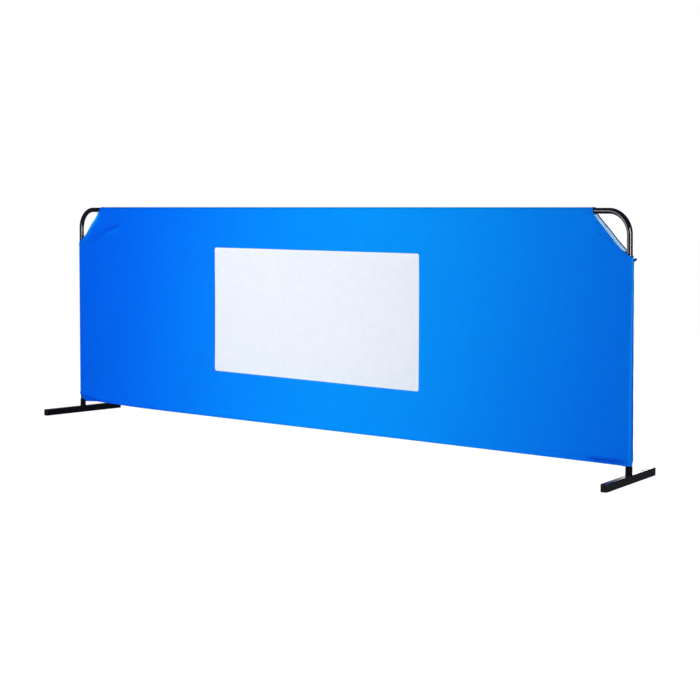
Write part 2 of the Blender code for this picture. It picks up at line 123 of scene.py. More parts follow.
class Side(Half):
    """Left and right half of the barrier, seen from its front."""

    LEFT = -1
    RIGHT = 1


class Face(Half):
    """Front and back of the cover, and front and back end of a foot."""

    FRONT = -1
    BACK = 1


@dataclass(frozen=True)
class Layout:
    """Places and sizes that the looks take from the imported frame.

    Distances along X are from the panel's middle, and radii are from a tube's axis.
    """

    centre_x: float
    half_spacing: float
    tube_r: float
    top_z: float
    rail_z: float
    upright_end_z: float
    cloth_out: float
    flap_out: float
    flap_top_z: float
    hem_half: float
    sleeve_half: float
    seam_top_z: float
    seam_turn: float
    foot_top_z: float
    socket_r: float

    @classmethod
    def read(cls) -> "Layout":
        """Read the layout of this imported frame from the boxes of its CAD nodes.

        Returns:
            The places and sizes.
        """
        left_low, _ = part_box("frame_tube_left")
        upright_low, right_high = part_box("frame_tube_right")
        rail_low, rail_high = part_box("bottom_rail_right")
        front_low, front_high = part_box("cover_front")
        band_low, band_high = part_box("cover_top_band")
        flap_low, flap_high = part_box("hem_flap")
        socket_low, socket_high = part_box("foot_socket_right")
        tube_r = (rail_high.z - rail_low.z) / 2
        return cls(
            centre_x=(left_low.x + right_high.x) / 2,
            half_spacing=(right_high.x - left_low.x) / 2 - tube_r,
            tube_r=tube_r,
            top_z=right_high.z - tube_r,
            rail_z=(rail_low.z + rail_high.z) / 2,
            upright_end_z=upright_low.z,
            cloth_out=-front_low.y,
            flap_out=flap_high.y,
            flap_top_z=flap_high.z,
            hem_half=(flap_high.x - flap_low.x) / 2,
            sleeve_half=(band_high.x - band_low.x) / 2,
            seam_top_z=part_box("side_binding_right")[1].z,
            seam_turn=math.asin(-front_high.y / front_low.y),
            foot_top_z=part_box("foot_bar_right")[1].z,
            socket_r=(socket_high.x - socket_low.x) / 2,
        )

    def by_post(self, side: Side, out: Any, y: Any, z: Any) -> Grid:
        """Points beside an upright.

        Args:
            side: Which upright.
            out: Distances from its axis, outwards along X.
            y: Their y.
            z: Their z.

        Returns:
            The points, as an array that ends in x, y, z.
        """
        x = self.centre_x + side.value * (self.half_spacing + out)
        return np.stack(np.broadcast_arrays(x, y, z), axis=-1)


def smooth_step(value: Any, low: float, high: float) -> Any:
    """Ease from 0 where a value is low to 1 where it is high."""
    share = np.clip((value - low) / (high - low), 0.0, 1.0)
    return share * share * (3.0 - 2.0 * share)


def near_line(points: Any, across: Grid, up: Grid) -> tuple[Grid, Grid]:
    """How near places on the flat cloth are to a line.

    Args:
        points: The line's points.
        across: The places' distances along the panel.
        up: Their heights.

    Returns:
        Their distances from the line, and the share of its length at which it is nearest.
    """
    line = np.array(points)
    steps = np.diff(line, axis=0)
    lengths = np.linalg.norm(steps, axis=1)
    best, share, done = np.full(across.shape, np.inf), np.zeros(across.shape), 0.0
    for start, step, length in zip(line, steps, lengths):
        x, z = across - start[0], up - start[1]
        inside = np.clip((x * step[0] + z * step[1]) / length ** 2, 0.0, 1.0)
        away = np.hypot(x - inside * step[0], z - inside * step[1])
        share = np.where(away < best, (done + inside * length) / lengths.sum(), share)
        best = np.minimum(best, away)
        done += length
    return best, share


def spread(keys: Sequence[float], steps: Sequence[float]) -> Grid:
    """Places from key to key, keys included, at no more than the step given for each stretch.

    Args:
        keys: Places that are kept, in order.
        steps: Longest step for each stretch between two keys.

    Returns:
        All the places.
    """
    found = [np.array([keys[0]])]
    for low, high, step in zip(keys, keys[1:], steps):
        count = max(1, math.ceil((high - low) / step - STEP_SLIP))
        found.append(np.linspace(low, high, count + 1)[1:])
    return np.concatenate(found)


class NodeTree:
    """Short-hand for one tree of nodes."""

    def __init__(self, tree: bpy.types.NodeTree) -> None:
        """Work on a tree."""
        self.tree = tree

    def feed(self, socket: Socket, value: Any) -> None:
        """Link a socket to another, or set it to a plain value.

        Args:
            socket: The input.
            value: The socket that feeds it, or its value.
        """
        if isinstance(value, Socket):
            self.tree.links.new(value, socket)
        else:
            socket.default_value = value

    def add(self, kind: str, inputs: dict[str | int, Any] | None = None, **settings: Any) -> bpy.types.Node:
        """Add a node.

        Args:
            kind: Blender's identifier of the node.
            inputs: A socket to link, or a value to set, by the input's name or number.
            **settings: Properties of the node.

        Returns:
            The new node.
        """
        node = self.tree.nodes.new(kind)
        for key, value in settings.items():
            setattr(node, key, value)
        for key, value in (inputs or {}).items():
            self.feed(node.inputs[key], value)
        return node

    def step(self, kind: str, inputs: dict[str | int, Any] | None = None, **settings: Any) -> Socket:
        """Add a node in the same way, and return its first output."""
        return self.add(kind, inputs, **settings).outputs[0]

    def math(self, operation: str, first: Any, second: Any = 0.0) -> Socket:
        """Work out one step of arithmetic."""
        return self.step("ShaderNodeMath", {0: first, 1: second}, operation=operation)

    def ramp(self, value: Any, *limits: float) -> Socket:
        """Map a value smoothly from between the first two limits to between the last two."""
        return self.step("ShaderNodeMapRange", dict(enumerate((value, *limits))),
                         interpolation_type="SMOOTHSTEP")

    def blend(self, share: Any, first: Any, second: Any, kind: str = "MIX") -> Socket:
        """Blend two colours by a share."""
        inputs = {0: share, 6: first, 7: second}
        return self.add("ShaderNodeMix", inputs, data_type="RGBA", blend_type=kind).outputs[2]


class ShaderTree(NodeTree):
    """The nodes of one material."""

    def __init__(self, name: str) -> None:
        """Start a material with an empty Principled BSDF.

        Args:
            name: The material's name.
        """
        self.material = bpy.data.materials.new(name)
        self.material.use_nodes = True
        super().__init__(self.material.node_tree)

    def dress(self, values: dict[str, Any]) -> None:
        """Link or set inputs of the Principled BSDF by name."""
        for label, value in values.items():
            self.feed(self.tree.nodes["Principled BSDF"].inputs[label], value)

    def flat(self) -> Socket:
        """The point's place on the flat cloth, in metres."""
        return self.add("ShaderNodeTexCoord").outputs["UV"]

    def split(self, vector: Socket) -> tuple[Socket, Socket]:
        """The first two numbers of a vector: across and up."""
        outputs = self.add("ShaderNodeSeparateXYZ", {0: vector}).outputs
        return outputs[0], outputs[1]

    def noise(self, size: float, detail: float = 2.0) -> Socket:
        """Noise whose lumps are about this size, in metres."""
        place = self.add("ShaderNodeTexCoord").outputs["Object"]
        return self.step("ShaderNodeTexNoise", {"Vector": place, "Scale": 1.0 / size, "Detail": detail})

    def bump(self, height: Any, depth: float, strength: float = 1.0) -> None:
        """Give the surface a relief of this depth, in metres."""
        relief = self.step("ShaderNodeBump", {"Strength": strength, "Distance": depth, "Height": height})
        self.dress({"Normal": relief})


@dataclass(frozen=True)
class Finish:
    """A painted, moulded or plated surface with a fine grain.

    Attributes:
        name: The material's name.
        colour: Linear base colour.
        roughness: Middle of the roughness.
        unevenness: How far the roughness wanders either way.
        metallic: 1 for bare metal.
        specular: Specular level of the shader.
        grain: Size of the relief's lumps.
        relief: Depth of the relief.
        mottle: How far the colour wanders, as a share.
    """

    name: str
    colour: Colour
    roughness: float
    unevenness: float = 0.05
    metallic: float = 0.0
    specular: float = 0.5
    grain: float = 0.0012
    relief: float = 0.00002
    mottle: float = 0.0

    # Size of the roughness's patches, size of the mottle in grains, and detail of both.
    PATCH = 0.045
    MOTTLE_GRAINS = 4
    DETAIL = 3.0

    def build(self) -> bpy.types.Material:
        """Make the material, with its relief and its wandering roughness.

        Returns:
            The material.
        """
        tree = ShaderTree(self.name)
        limits = self.roughness - self.unevenness, self.roughness + self.unevenness
        rough = tree.ramp(tree.noise(self.PATCH, self.DETAIL), *NOISE, *limits)
        colour: Any = (*self.colour, 1.0)
        if self.mottle:
            dark, light = ((*(part * (1.0 + wander) for part in self.colour), 1.0)
                           for wander in (-self.mottle, self.mottle))
            colour = tree.blend(tree.noise(self.grain * self.MOTTLE_GRAINS, self.DETAIL), dark, light)
        tree.dress({"Metallic": self.metallic, "Specular IOR Level": self.specular, "Roughness": rough,
                    "Base Color": colour})
        tree.bump(tree.noise(self.grain), self.relief)
        return tree.material


@dataclass(frozen=True)
class Cloth:
    """A woven cloth whose threads follow its flat coordinates.

    Attributes:
        name: The material's name.
        colour: Linear colour of the cloth.
        pitch: Distance from thread to thread.
        relief: Height of a thread over the next.
        roughness: Roughness of the yarn.
        specular: Specular level of the yarn.
        mottle: How far the colour wanders, as a share; it also sets the painted shade between the threads.
        ribs: Whether the threads run as ribs one way only.
        sheer: How far light goes through it, 0 for not at all.
    """

    name: str
    colour: Colour
    pitch: float = 0.00055
    relief: float = 0.00008
    roughness: float = 0.72
    specular: float = 0.02
    mottle: float = 0.012
    ribs: bool = False
    sheer: float = 0.0

    # How deep light goes into sheer cloth, how high up the threads shade it, size and detail of its
    # clouds, how much rougher it is between the threads, and how strong their relief is.
    SHEER_DEPTH = 0.004
    THREAD_TOP = 0.6
    CLOUD = (0.02, 4.0)
    ROUGHER = 0.1
    STRENGTH = 0.6

    def weave(self, tree: ShaderTree) -> Socket:
        """Height of the threads, from 0 to 1.

        Args:
            tree: The material's nodes.

        Returns:
            The height.
        """
        places = tree.split(tree.flat())[int(self.ribs):]
        waves = [tree.math("SINE", tree.math("MULTIPLY", place, math.pi / self.pitch)) for place in places]
        threads = [tree.math("ABSOLUTE", wave) for wave in waves]
        return threads[0] if self.ribs else tree.math("MULTIPLY", *threads)

    def base(self, tree: ShaderTree) -> Any:
        """The cloth's colour before its threads shade it."""
        return (*self.colour, 1.0)

    def build(self) -> bpy.types.Material:
        """Make the material, with painted shade between its threads, clouds in its colour, and its weave in
        relief.

        Returns:
            The material.
        """
        tree = ShaderTree(self.name)
        if self.sheer:
            tree.dress({"Subsurface Weight": self.sheer, "Subsurface Radius": (1.0, 1.0, 1.0),
                        "Subsurface Scale": self.SHEER_DEPTH})
        height = self.weave(tree)
        low, high = 1.0 - self.mottle, 1.0 + self.mottle
        # Painted shade between the threads, times clouds in the cloth's colour.
        shade = tree.math("MULTIPLY", tree.ramp(height, 0.0, self.THREAD_TOP, low - self.mottle, high),
                          tree.ramp(tree.noise(*self.CLOUD), *NOISE, low, high))
        rough = tree.ramp(height, 0.0, 1.0, self.roughness + self.ROUGHER, self.roughness)
        tree.dress({"Base Color": tree.blend(1.0, self.base(tree), shade, "MULTIPLY"), "Roughness": rough,
                    "Specular IOR Level": self.specular})
        tree.bump(height, self.relief, self.STRENGTH)
        return tree.material


@dataclass(frozen=True)
class Crease:
    """A sharp crease that the cloth keeps, too fine for the mesh, painted on as a line of painted shade or
    painted highlight.

    Attributes:
        middle: Its middle on the flat cloth: distance from the panel's middle, and height.
        half_length: Half of its length.
        half_width: Half of its width.
        rise: How far it rises to the right, in degrees.
        shade: How strongly its painted shade or painted highlight shows.
        bend: How far its middle lies off its chord, in half widths.
        valley: Whether its line is painted shade in a valley, and not a painted highlight on a ridge.
    """

    middle: Place
    half_length: float
    half_width: float
    rise: float
    shade: float
    bend: float = 0.0
    valley: bool = True

    # Share of its half length up to which it is at full strength.
    FULL_TO = 0.35

    def share(self, tree: ShaderTree) -> Socket:
        """How far the crease's painted shade or highlight colours a point of the cloth, fading to its sides
        and ends.

        Args:
            tree: The material's nodes.

        Returns:
            The share.
        """
        place = tree.step("ShaderNodeMapping", {
            "Vector": tree.flat(), "Location": (*self.middle, 0.0),
            "Rotation": (0.0, 0.0, math.radians(self.rise)),
            "Scale": (self.half_length, self.half_width, 1.0)}, vector_type="TEXTURE")
        along, aside = tree.split(place)
        if self.bend:
            bow = tree.math("SUBTRACT", 1.0, tree.math("MULTIPLY", along, along))
            aside = tree.math("SUBTRACT", aside, tree.math("MULTIPLY", bow, self.bend))
        ends = tree.ramp(tree.math("ABSOLUTE", along), self.FULL_TO, 1.0, self.shade, 0.0)
        return tree.math("MULTIPLY", ends, tree.ramp(tree.math("ABSOLUTE", aside), 0.0, 1.0, 1.0, 0.0))


@dataclass(frozen=True)
class PrintedCloth(Cloth):
    """The cover's printed cloth: a printed blue with painted shade that deepens it towards the ends, painted
    light along cut edges and creases, and a bare pale printed rectangle.

    Attributes:
        end_shade_colour: Linear blue at the panel's ends, darkened there as painted shade.
        glow_x: Where along the panel the painted light on the blue is brightest, from the panel's middle.
        glow_reach: Distance from there to the full painted shade of the end colour.
        glow_lean: How far that place lies further right for each metre of height over glow_z.
        glow_z: The height at which the painted light is brightest at glow_x.
        label_colour: Linear colour of the rectangle, or None on the face that has none.
        label_middle: The rectangle's middle: distance from the panel's middle, and height.
        label_half: Half its width and height.
        label_corner: Radius of its corners.
        label_tilt: How far it is printed off level, in radians.
        label_fade: Width of the print's soft edge.
        drawn_colour: Linear lighter blue of the painted light along cut edges and of the painted highlights
            on ridges.
        creases: The creases that the cloth keeps, painted on as lines of shade or highlight.
    """

    end_shade_colour: Colour = (0.0, 0.127, 0.885)
    glow_x: float = 0.24
    glow_reach: float = 1.45
    glow_lean: float = 0.25
    glow_z: float = 0.35
    label_colour: Colour | None = None
    label_middle: Place = (-0.0071, 0.3971)
    label_half: Place = (0.4398, 0.2030)
    label_corner: float = 0.007
    label_tilt: float = math.radians(-0.25)
    label_fade: float = 0.0006
    drawn_colour: Colour = (0.006, 0.40, 1.0)
    creases: tuple[Crease, ...] = ()

    # The mesh attribute that holds where light is painted on, and the blue of the painted shade in a crease's
    # valley.
    DRAWN = "drawn"
    CREASE_SHADE_COLOUR = (0.0, 0.02, 0.60)

    def base(self, tree: ShaderTree) -> Socket:
        """The printed blue with painted shade that deepens it along the panel, painted light and crease
        lines, and the printed rectangle.

        Args:
            tree: The material's nodes.

        Returns:
            The colour.
        """
        across, up = tree.split(tree.flat())
        lean = tree.math("MULTIPLY", tree.math("SUBTRACT", up, self.glow_z), self.glow_lean)
        far = tree.math("ABSOLUTE", tree.math("SUBTRACT", tree.math("SUBTRACT", across, self.glow_x), lean))
        # Painted shade: the blue deepens away from where the painted light is brightest.
        layers = [(tree.ramp(far, 0.0, self.glow_reach, 0.0, 1.0), self.end_shade_colour)]
        # Painted light from the mesh attribute: lighter blue along the left cuts and a painted highlight band
        # round the right upright.
        painted_light_layer = tree.add("ShaderNodeAttribute", attribute_name=self.DRAWN).outputs["Fac"]
        layers.append((painted_light_layer, self.drawn_colour))
        # Each crease: painted shade along a valley, painted highlight along a ridge.
        layers += [(crease.share(tree), self.CREASE_SHADE_COLOUR if crease.valley else self.drawn_colour)
                   for crease in self.creases]
        if self.label_colour:
            layers.append((self.label(tree, across, up), self.label_colour))
        paint: Any = (*self.colour, 1.0)
        for share, colour in layers:
            paint = tree.blend(share, paint, (*colour, 1.0))
        return paint

    def label(self, tree: ShaderTree, across: Socket, up: Socket) -> Socket:
        """Share of the rectangle's print, from the distance to a rectangle with round corners.

        Args:
            tree: The material's nodes.
            across: Place along the cloth.
            up: Place up the cloth.

        Returns:
            The share, 1 inside the rectangle.
        """
        x, z = (tree.math("SUBTRACT", place, middle)
                for place, middle in zip((across, up), self.label_middle))
        along, aside = math.cos(self.label_tilt), math.sin(self.label_tilt)
        level = (tree.math("ADD", tree.math("MULTIPLY", x, along), tree.math("MULTIPLY", z, aside)),
                 tree.math("SUBTRACT", tree.math("MULTIPLY", z, along), tree.math("MULTIPLY", x, aside)))
        squares = []
        for place, half in zip(level, self.label_half):
            outside = tree.math("SUBTRACT", tree.math("ABSOLUTE", place), half - self.label_corner)
            past = tree.math("MAXIMUM", outside, 0.0)
            squares.append(tree.math("MULTIPLY", past, past))
        distance = tree.math("SQRT", tree.math("ADD", *squares))
        return tree.ramp(distance, self.label_corner - self.label_fade, self.label_corner + self.label_fade,
                         1.0, 0.0)


FRAME_GLOSS = Finish("frame_gloss_black", (0.006, 0.0055, 0.012), 0.14, 0.03, grain=0.0016, relief=0.000008)
FOOT_SATIN = Finish("foot_satin_black", (0.003, 0.0038, 0.0065), 0.20, 0.04, specular=0.16, grain=0.0011,
                    relief=0.000008)
CAP_MOULDED = Finish("cap_moulded_black", (0.007, 0.007, 0.008), 0.45, 0.06, specular=0.25, grain=0.0007)
NYLON_NATURAL = Finish("washer_nylon", (0.72, 0.71, 0.66), 0.50, grain=0.0008, mottle=0.04)
ZINC_PLATED = Finish("zinc_plated_steel", (0.42, 0.43, 0.45), 0.34, 0.08, 1.0, grain=0.0006, relief=0.00001,
                     mottle=0.08)
# Lines of painted shade and highlight: creases at the top corners, and the shade where the cloth turns under
# the bottom rail.
FRONT_CREASES = (
    Crease((-0.982, 0.6590), 0.080, 0.0130, 16.8, 0.34, 0.15),
    Crease((-0.9900, 0.6415), 0.075, 0.0110, 18.6, 0.16, valley=False),
    Crease((-1.050, 0.6290), 0.060, 0.0200, 12.0, 0.20),
    Crease((1.078, 0.6570), 0.034, 0.0030, -24.5, 0.34),
    Crease((-1.085, 0.0530), 0.115, 0.0062, -8.9, 0.60, -0.3),
    Crease((1.088, 0.0575), 0.085, 0.0110, 1.0, 0.62, -0.1),
)
PRINTS_WITH_PAINTED_LIGHT = {
    Face.FRONT: PrintedCloth("cover_print_front", (0.0, 0.275, 0.91), label_colour=(0.80, 0.845, 0.915),
                             creases=FRONT_CREASES),
    Face.BACK: PrintedCloth("cover_print_back", (0.0, 0.275, 0.91)),
}
LINING = Cloth("cover_lining", (0.40, 0.61, 0.98), roughness=0.8)
CORNER_TAPE = Cloth("corner_tape", (0.22, 0.48, 1.0), roughness=0.8, sheer=1.0)
OVERLOCK_EDGE = Cloth("overlocked_edge", (0.010, 0.07, 0.80), pitch=0.0011, relief=0.0002, ribs=True)
EDGE_CLOTH = Cloth("cover_edge", (0.006, 0.06, 0.45), pitch=0.0008, ribs=True)
BINDING = Cloth("binding_tape", (0.002, 0.055, 0.46), pitch=0.0009, relief=0.00012, ribs=True)
THREAD = Finish("seam_thread", (0.004, 0.10, 0.60), 0.55, specular=0.2, grain=0.0004, relief=0.00006)
OVERLOCK = Finish("overlock_thread", (0.010, 0.07, 0.80), 0.60, specular=0.2, grain=0.0004, relief=0.00006)
LOOP_PILE = Finish("loop_pile", (0.016, 0.017, 0.022), 0.95, 0.03, specular=0.1, grain=0.0005, relief=0.0004)
HOOK_GRID = Finish("hook_grid", (0.016, 0.017, 0.022), 0.55, grain=0.0009, relief=0.0003)


class PathTree(NodeTree):
    """A geometry node tree that works along a path, with named inputs."""

    # Kind of socket for each kind of default value.
    KINDS = {float: "NodeSocketFloat", int: "NodeSocketInt"}

    def __init__(self, name: str, **inputs: float) -> None:
        """Start the tree.

        Args:
            name: The tree's name.
            **inputs: Default value of each input, whose kind it tells too.
        """
        super().__init__(bpy.data.node_groups.new(name, "GeometryNodeTree"))
        face = self.tree.interface
        face.new_socket("Path", in_out="INPUT", socket_type="NodeSocketGeometry")
        for label, value in inputs.items():
            socket = face.new_socket(label, in_out="INPUT", socket_type=self.KINDS[type(value)])
            socket.default_value = value
        face.new_socket("material", in_out="INPUT", socket_type="NodeSocketMaterial")
        face.new_socket("Result", in_out="OUTPUT", socket_type="NodeSocketGeometry")
        self.start = self.add("NodeGroupInput")

    def given(self, label: str) -> Socket:
        """The tree's own input of this name."""
        return self.start.outputs[label]

    def close(self, geometry: Socket) -> None:
        """End the tree in smooth real meshes with the given material.

        Args:
            geometry: What the tree has made.
        """
        smooth = self.step("GeometryNodeSetShadeSmooth", {"Geometry": geometry})
        real = self.step("GeometryNodeRealizeInstances", {"Geometry": smooth})
        dressed = self.step("GeometryNodeSetMaterial", {"Geometry": real, "Material": self.given("material")})
        self.add("NodeGroupOutput", {0: dressed})

    def run(self, paths: Iterable[Grid], name: str, **values: Any) -> Mesh:
        """Work the tree along paths and keep the result as a plain mesh.

        Args:
            paths: The points of each path.
            name: The new mesh's name.
            **values: What each named input is set to.

        Returns:
            The mesh.
        """
        bm = bmesh.new()
        for path in paths:
            points = [bm.verts.new(point) for point in path]
            for pair in zip(points, points[1:]):
                bm.edges.new(pair)
        guide = bpy.data.meshes.new(name + "_path")
        bm.to_mesh(guide)
        bm.free()
        item = bpy.data.objects.new(guide.name, guide)
        bpy.context.scene.collection.objects.link(item)
        modifier = item.modifiers.new("tree", "NODES")
        modifier.node_group = self.tree
        for socket in self.tree.interface.items_tree:
            if socket.in_out == "INPUT" and socket.name in values:
                modifier[socket.identifier] = values[socket.name]
        mesh = bpy.data.meshes.new_from_object(item.evaluated_get(bpy.context.evaluated_depsgraph_get()))
        mesh.name = name
        bpy.data.objects.remove(item, do_unlink=True)
        bpy.data.meshes.remove(guide)
        return mesh


def bead_tree() -> PathTree:
    """Round beads set one after another along a path: stitches of thread, or the ripples of a weld.

    Returns:
        The tree.
    """
    made = PathTree("beads_along_path", pitch=0.004, radius=0.0003, half_length=0.0014, sides=6, rings=4)
    given = made.given
    curve = made.step("GeometryNodeMeshToCurve", {"Mesh": given("Path")})
    points = made.add("GeometryNodeCurveToPoints", {"Curve": curve, "Length": given("pitch")}, mode="LENGTH")
    turn = made.step("FunctionNodeAlignRotationToVector", {"Vector": points.outputs["Tangent"]}, axis="Z")
    ball = made.step("GeometryNodeMeshUVSphere", {"Segments": given("sides"), "Rings": given("rings"),
                                                  "Radius": 1.0})
    size = made.step("ShaderNodeCombineXYZ", {"X": given("radius"), "Y": given("radius"),
                                              "Z": given("half_length")})
    made.close(made.step("GeometryNodeInstanceOnPoints", {
        "Points": points.outputs["Points"], "Instance": ball, "Rotation": turn, "Scale": size}))
    return made


def tube_tree() -> PathTree:
    """A round tube along a path, with a bend of one radius at each of its corners.

    Returns:
        The tree.
    """
    made = PathTree("tube_along_path", radius=0.008, bend_radius=0.065, bend_steps=24, sides=48)
    given = made.given
    curve = made.step("GeometryNodeMeshToCurve", {"Mesh": given("Path")})
    bent = made.step("GeometryNodeFilletCurve", {"Curve": curve, "Count": given("bend_steps"),
                                                 "Radius": given("bend_radius")}, mode="POLY")
    ring = made.step("GeometryNodeCurvePrimitiveCircle", {"Resolution": given("sides"),
                                                          "Radius": given("radius")})
    made.close(made.step("GeometryNodeCurveToMesh", {"Curve": bent, "Profile Curve": ring}))
    return made


class Workshop:
    """Makes meshes and objects, and keeps one material for each finish."""

    # Points this near are one, edges up to the first angle look smooth, and faces up to the second are flat.
    MERGE = 1e-5
    SMOOTH_UNDER = math.radians(35.0)
    FLAT_UNDER = math.radians(0.5)
    # Sides and rings of a weld's beads.
    RIPPLE = {"sides": 8, "rings": 6}

    def __init__(self) -> None:
        """Start with no materials made."""
        self.made: dict[str, bpy.types.Material] = {}
        self.tubes, self.beads = tube_tree(), bead_tree()

    def material(self, finish: Finish | Cloth) -> bpy.types.Material:
        """The material of a finish, made the first time it is asked for.

        Args:
            finish: The finish.

        Returns:
            Its one material.
        """
        if finish.name not in self.made:
            self.made[finish.name] = finish.build()
        return self.made[finish.name]

    def piece(self, mesh: Mesh, *finishes: Finish | Cloth) -> Item:
        """Put a mesh in the scene under its own name, with a finish for each of its material indices.

        Args:
            mesh: The mesh, in place.
            *finishes: The finishes.

        Returns:
            The new object.
        """
        item = bpy.data.objects.new(mesh.name, mesh)
        bpy.context.scene.collection.objects.link(item)
        mesh.materials.clear()
        for finish in finishes:
            mesh.materials.append(self.material(finish))
        return item

    def hold(self, item: Item, body: Body, slot: Slot, *nodes: str) -> Item:
        """Fix a piece to its body, in place of the CAD nodes that it stands for.

        Args:
            item: The piece.
            body: The body that it moves with.
            slot: Not used.
            *nodes: The CAD nodes.

        Returns:
            The same piece.
        """
        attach(item, body.value)
        if nodes:
            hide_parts(*nodes)
        LOG.info("%s rides on %s, for %s", item.name, body.value, ", ".join(nodes) or "no node")
        return item

    def dress(self, node: str, finish: Finish, slot: Slot) -> None:
        """Give a CAD node whose shape is right its finish.

        Args:
            node: The node.
            finish: The finish.
            slot: Not used.
        """
        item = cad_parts[node]
        for held in item.material_slots:
            held.material = self.material(finish)
        LOG.info("%s keeps its own shape", node)

    def modify(self, item: Item, name: str, kind: str, **settings: Any) -> None:
        """Add a modifier with these settings.

        Args:
            item: The piece.
            name: The modifier's name.
            kind: Blender's identifier of the modifier.
            **settings: Its settings by name.
        """
        made = item.modifiers.new(name, kind)
        for key, value in settings.items():
            setattr(made, key, value)

    def thicken(self, item: Item, thickness: float, **settings: int) -> None:
        """Give a sheet its thickness, inwards from its outer side."""
        self.modify(item, "thickness", "SOLIDIFY", thickness=thickness, offset=-1.0, use_even_offset=True,
                    **settings)

    def grid(self, name: str, bands: Sequence[Grid], flats: Sequence[Grid],
             drawn: Sequence[Grid] | None = None) -> Mesh:
        """Join grids of points into one sheet.

        Args:
            name: The mesh's name.
            bands: Arrays of rows by columns of points, which meet along shared points.
            flats: The same grids' flat coordinates, in metres.
            drawn: How much light is painted on at each point, if the sheet is to keep that.

        Returns:
            A mesh of quads with its flat coordinates as UV map.
        """
        bm = bmesh.new()
        layer = bm.loops.layers.uv.new("flat")
        # Where light is painted on the cloth, for its material.
        painted_light_layer = bm.verts.layers.float.new(PrintedCloth.DRAWN)
        shares = drawn or [np.zeros(points.shape[:2]) for points in bands]
        for points, flat, share in zip(bands, flats, shares):
            rows, columns = points.shape[:2]
            corners = [[bm.verts.new(points[i, j]) for j in range(columns)] for i in range(rows)]
            for i, j in np.ndindex(rows, columns):
                corners[i][j][painted_light_layer] = share[i, j]
            for i, j in np.ndindex(rows - 1, columns - 1):
                around = ((i, j), (i, j + 1), (i + 1, j + 1), (i + 1, j))
                quad = bm.faces.new([corners[a][b] for a, b in around])
                quad.smooth = True
                for loop, place in zip(quad.loops, around):
                    loop[layer].uv = flat[place]
        bmesh.ops.remove_doubles(bm, verts=bm.verts, dist=self.MERGE)
        mesh = bpy.data.meshes.new(name)
        bm.to_mesh(mesh)
        bm.free()
        return mesh

    def strip(self, name: str, points: Grid, flat: tuple[Grid, Grid], thickness: float, flip: bool,
              *finishes: Finish | Cloth) -> Item:
        """Make a sheet of one grid.

        Args:
            name: The piece's name.
            points: Rows by columns of points on its outer side.
            flat: Their flat coordinates, across and up.
            thickness: Its thickness.
            flip: Whether the grid's faces look inwards and have to be turned.
            *finishes: One finish for each material index.

        Returns:
            The piece.
        """
        mesh = self.grid(name, [points], [np.stack(flat, axis=-1)])
        if flip:
            mesh.flip_normals()
        item = self.piece(mesh, *finishes)
        self.thicken(item, thickness)
        return item

    def beaded(self, name: str, paths: Iterable[Grid], finish: Finish, **sizes: float) -> Item:
        """Set beads along paths, as one piece."""
        return self.piece(self.beads.run(paths, name, material=self.material(finish), **sizes), finish)

    def weld(self, name: str, path: Grid, finish: Finish, radius: float, pitch: float) -> Item:
        """Lay a rippled weld along a joint."""
        return self.beaded(name, [path], finish, radius=radius, pitch=pitch, half_length=pitch, **self.RIPPLE)

    def refined(self, node: str, name: str, finish: Finish, edge: float = 0.0) -> Item:
        """Copy a rigid CAD node as a smooth piece.

        Args:
            node: The node to copy.
            name: The piece's name.
            finish: The piece's finish.
            edge: Width of the bevel on its sharp edges, or 0 for none.

        Returns:
            The piece, with the node's own shape.
        """
        bm = bmesh.new()
        bm.from_mesh(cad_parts[node].data)
        bmesh.ops.remove_doubles(bm, verts=bm.verts, dist=self.MERGE)
        bmesh.ops.dissolve_limit(bm, angle_limit=self.FLAT_UNDER, verts=bm.verts, edges=bm.edges)
        mesh = bpy.data.meshes.new(name)
        bm.to_mesh(mesh)
        bm.free()
        mesh.shade_smooth()
        mesh.set_sharp_from_angle(angle=self.SMOOTH_UNDER)
        item = self.piece(mesh, finish)
        if edge:
            self.modify(item, "edge", "BEVEL", width=edge, segments=2, limit_method="ANGLE",
                        angle_limit=self.SMOOTH_UNDER)
        self.modify(item, "flats", "WEIGHTED_NORMAL", keep_sharp=True)
        return item


@dataclass(frozen=True)
class Fold:
    """A soft valley or ridge in the stretched cloth, along a line on its flat coordinates.

    Attributes:
        points: Its line, in distances from the panel's middle and heights over the bottom rail's axis.
        width: Distance from the line at which it has faded to a third.
        lift: Its height at the line, negative for a valley.
        fade: Share of its length over which each end fades.
    """

    points: tuple[Place, ...]
    width: float
    lift: float
    fade: float = 0.35

    def at(self, across: Grid, up: Grid) -> Grid:
        """Height of the fold over the plain cloth, at places along and up the panel.

        Args:
            across: Signed distances along the cloth.
            up: Heights over the bottom rail's axis.

        Returns:
            The heights.
        """
        away, share = near_line(self.points, across, up)
        ends = smooth_step(share, 0.0, self.fade) * smooth_step(1.0 - share, 0.0, self.fade)
        return self.lift * ends * np.exp(-(away / self.width) ** 2)


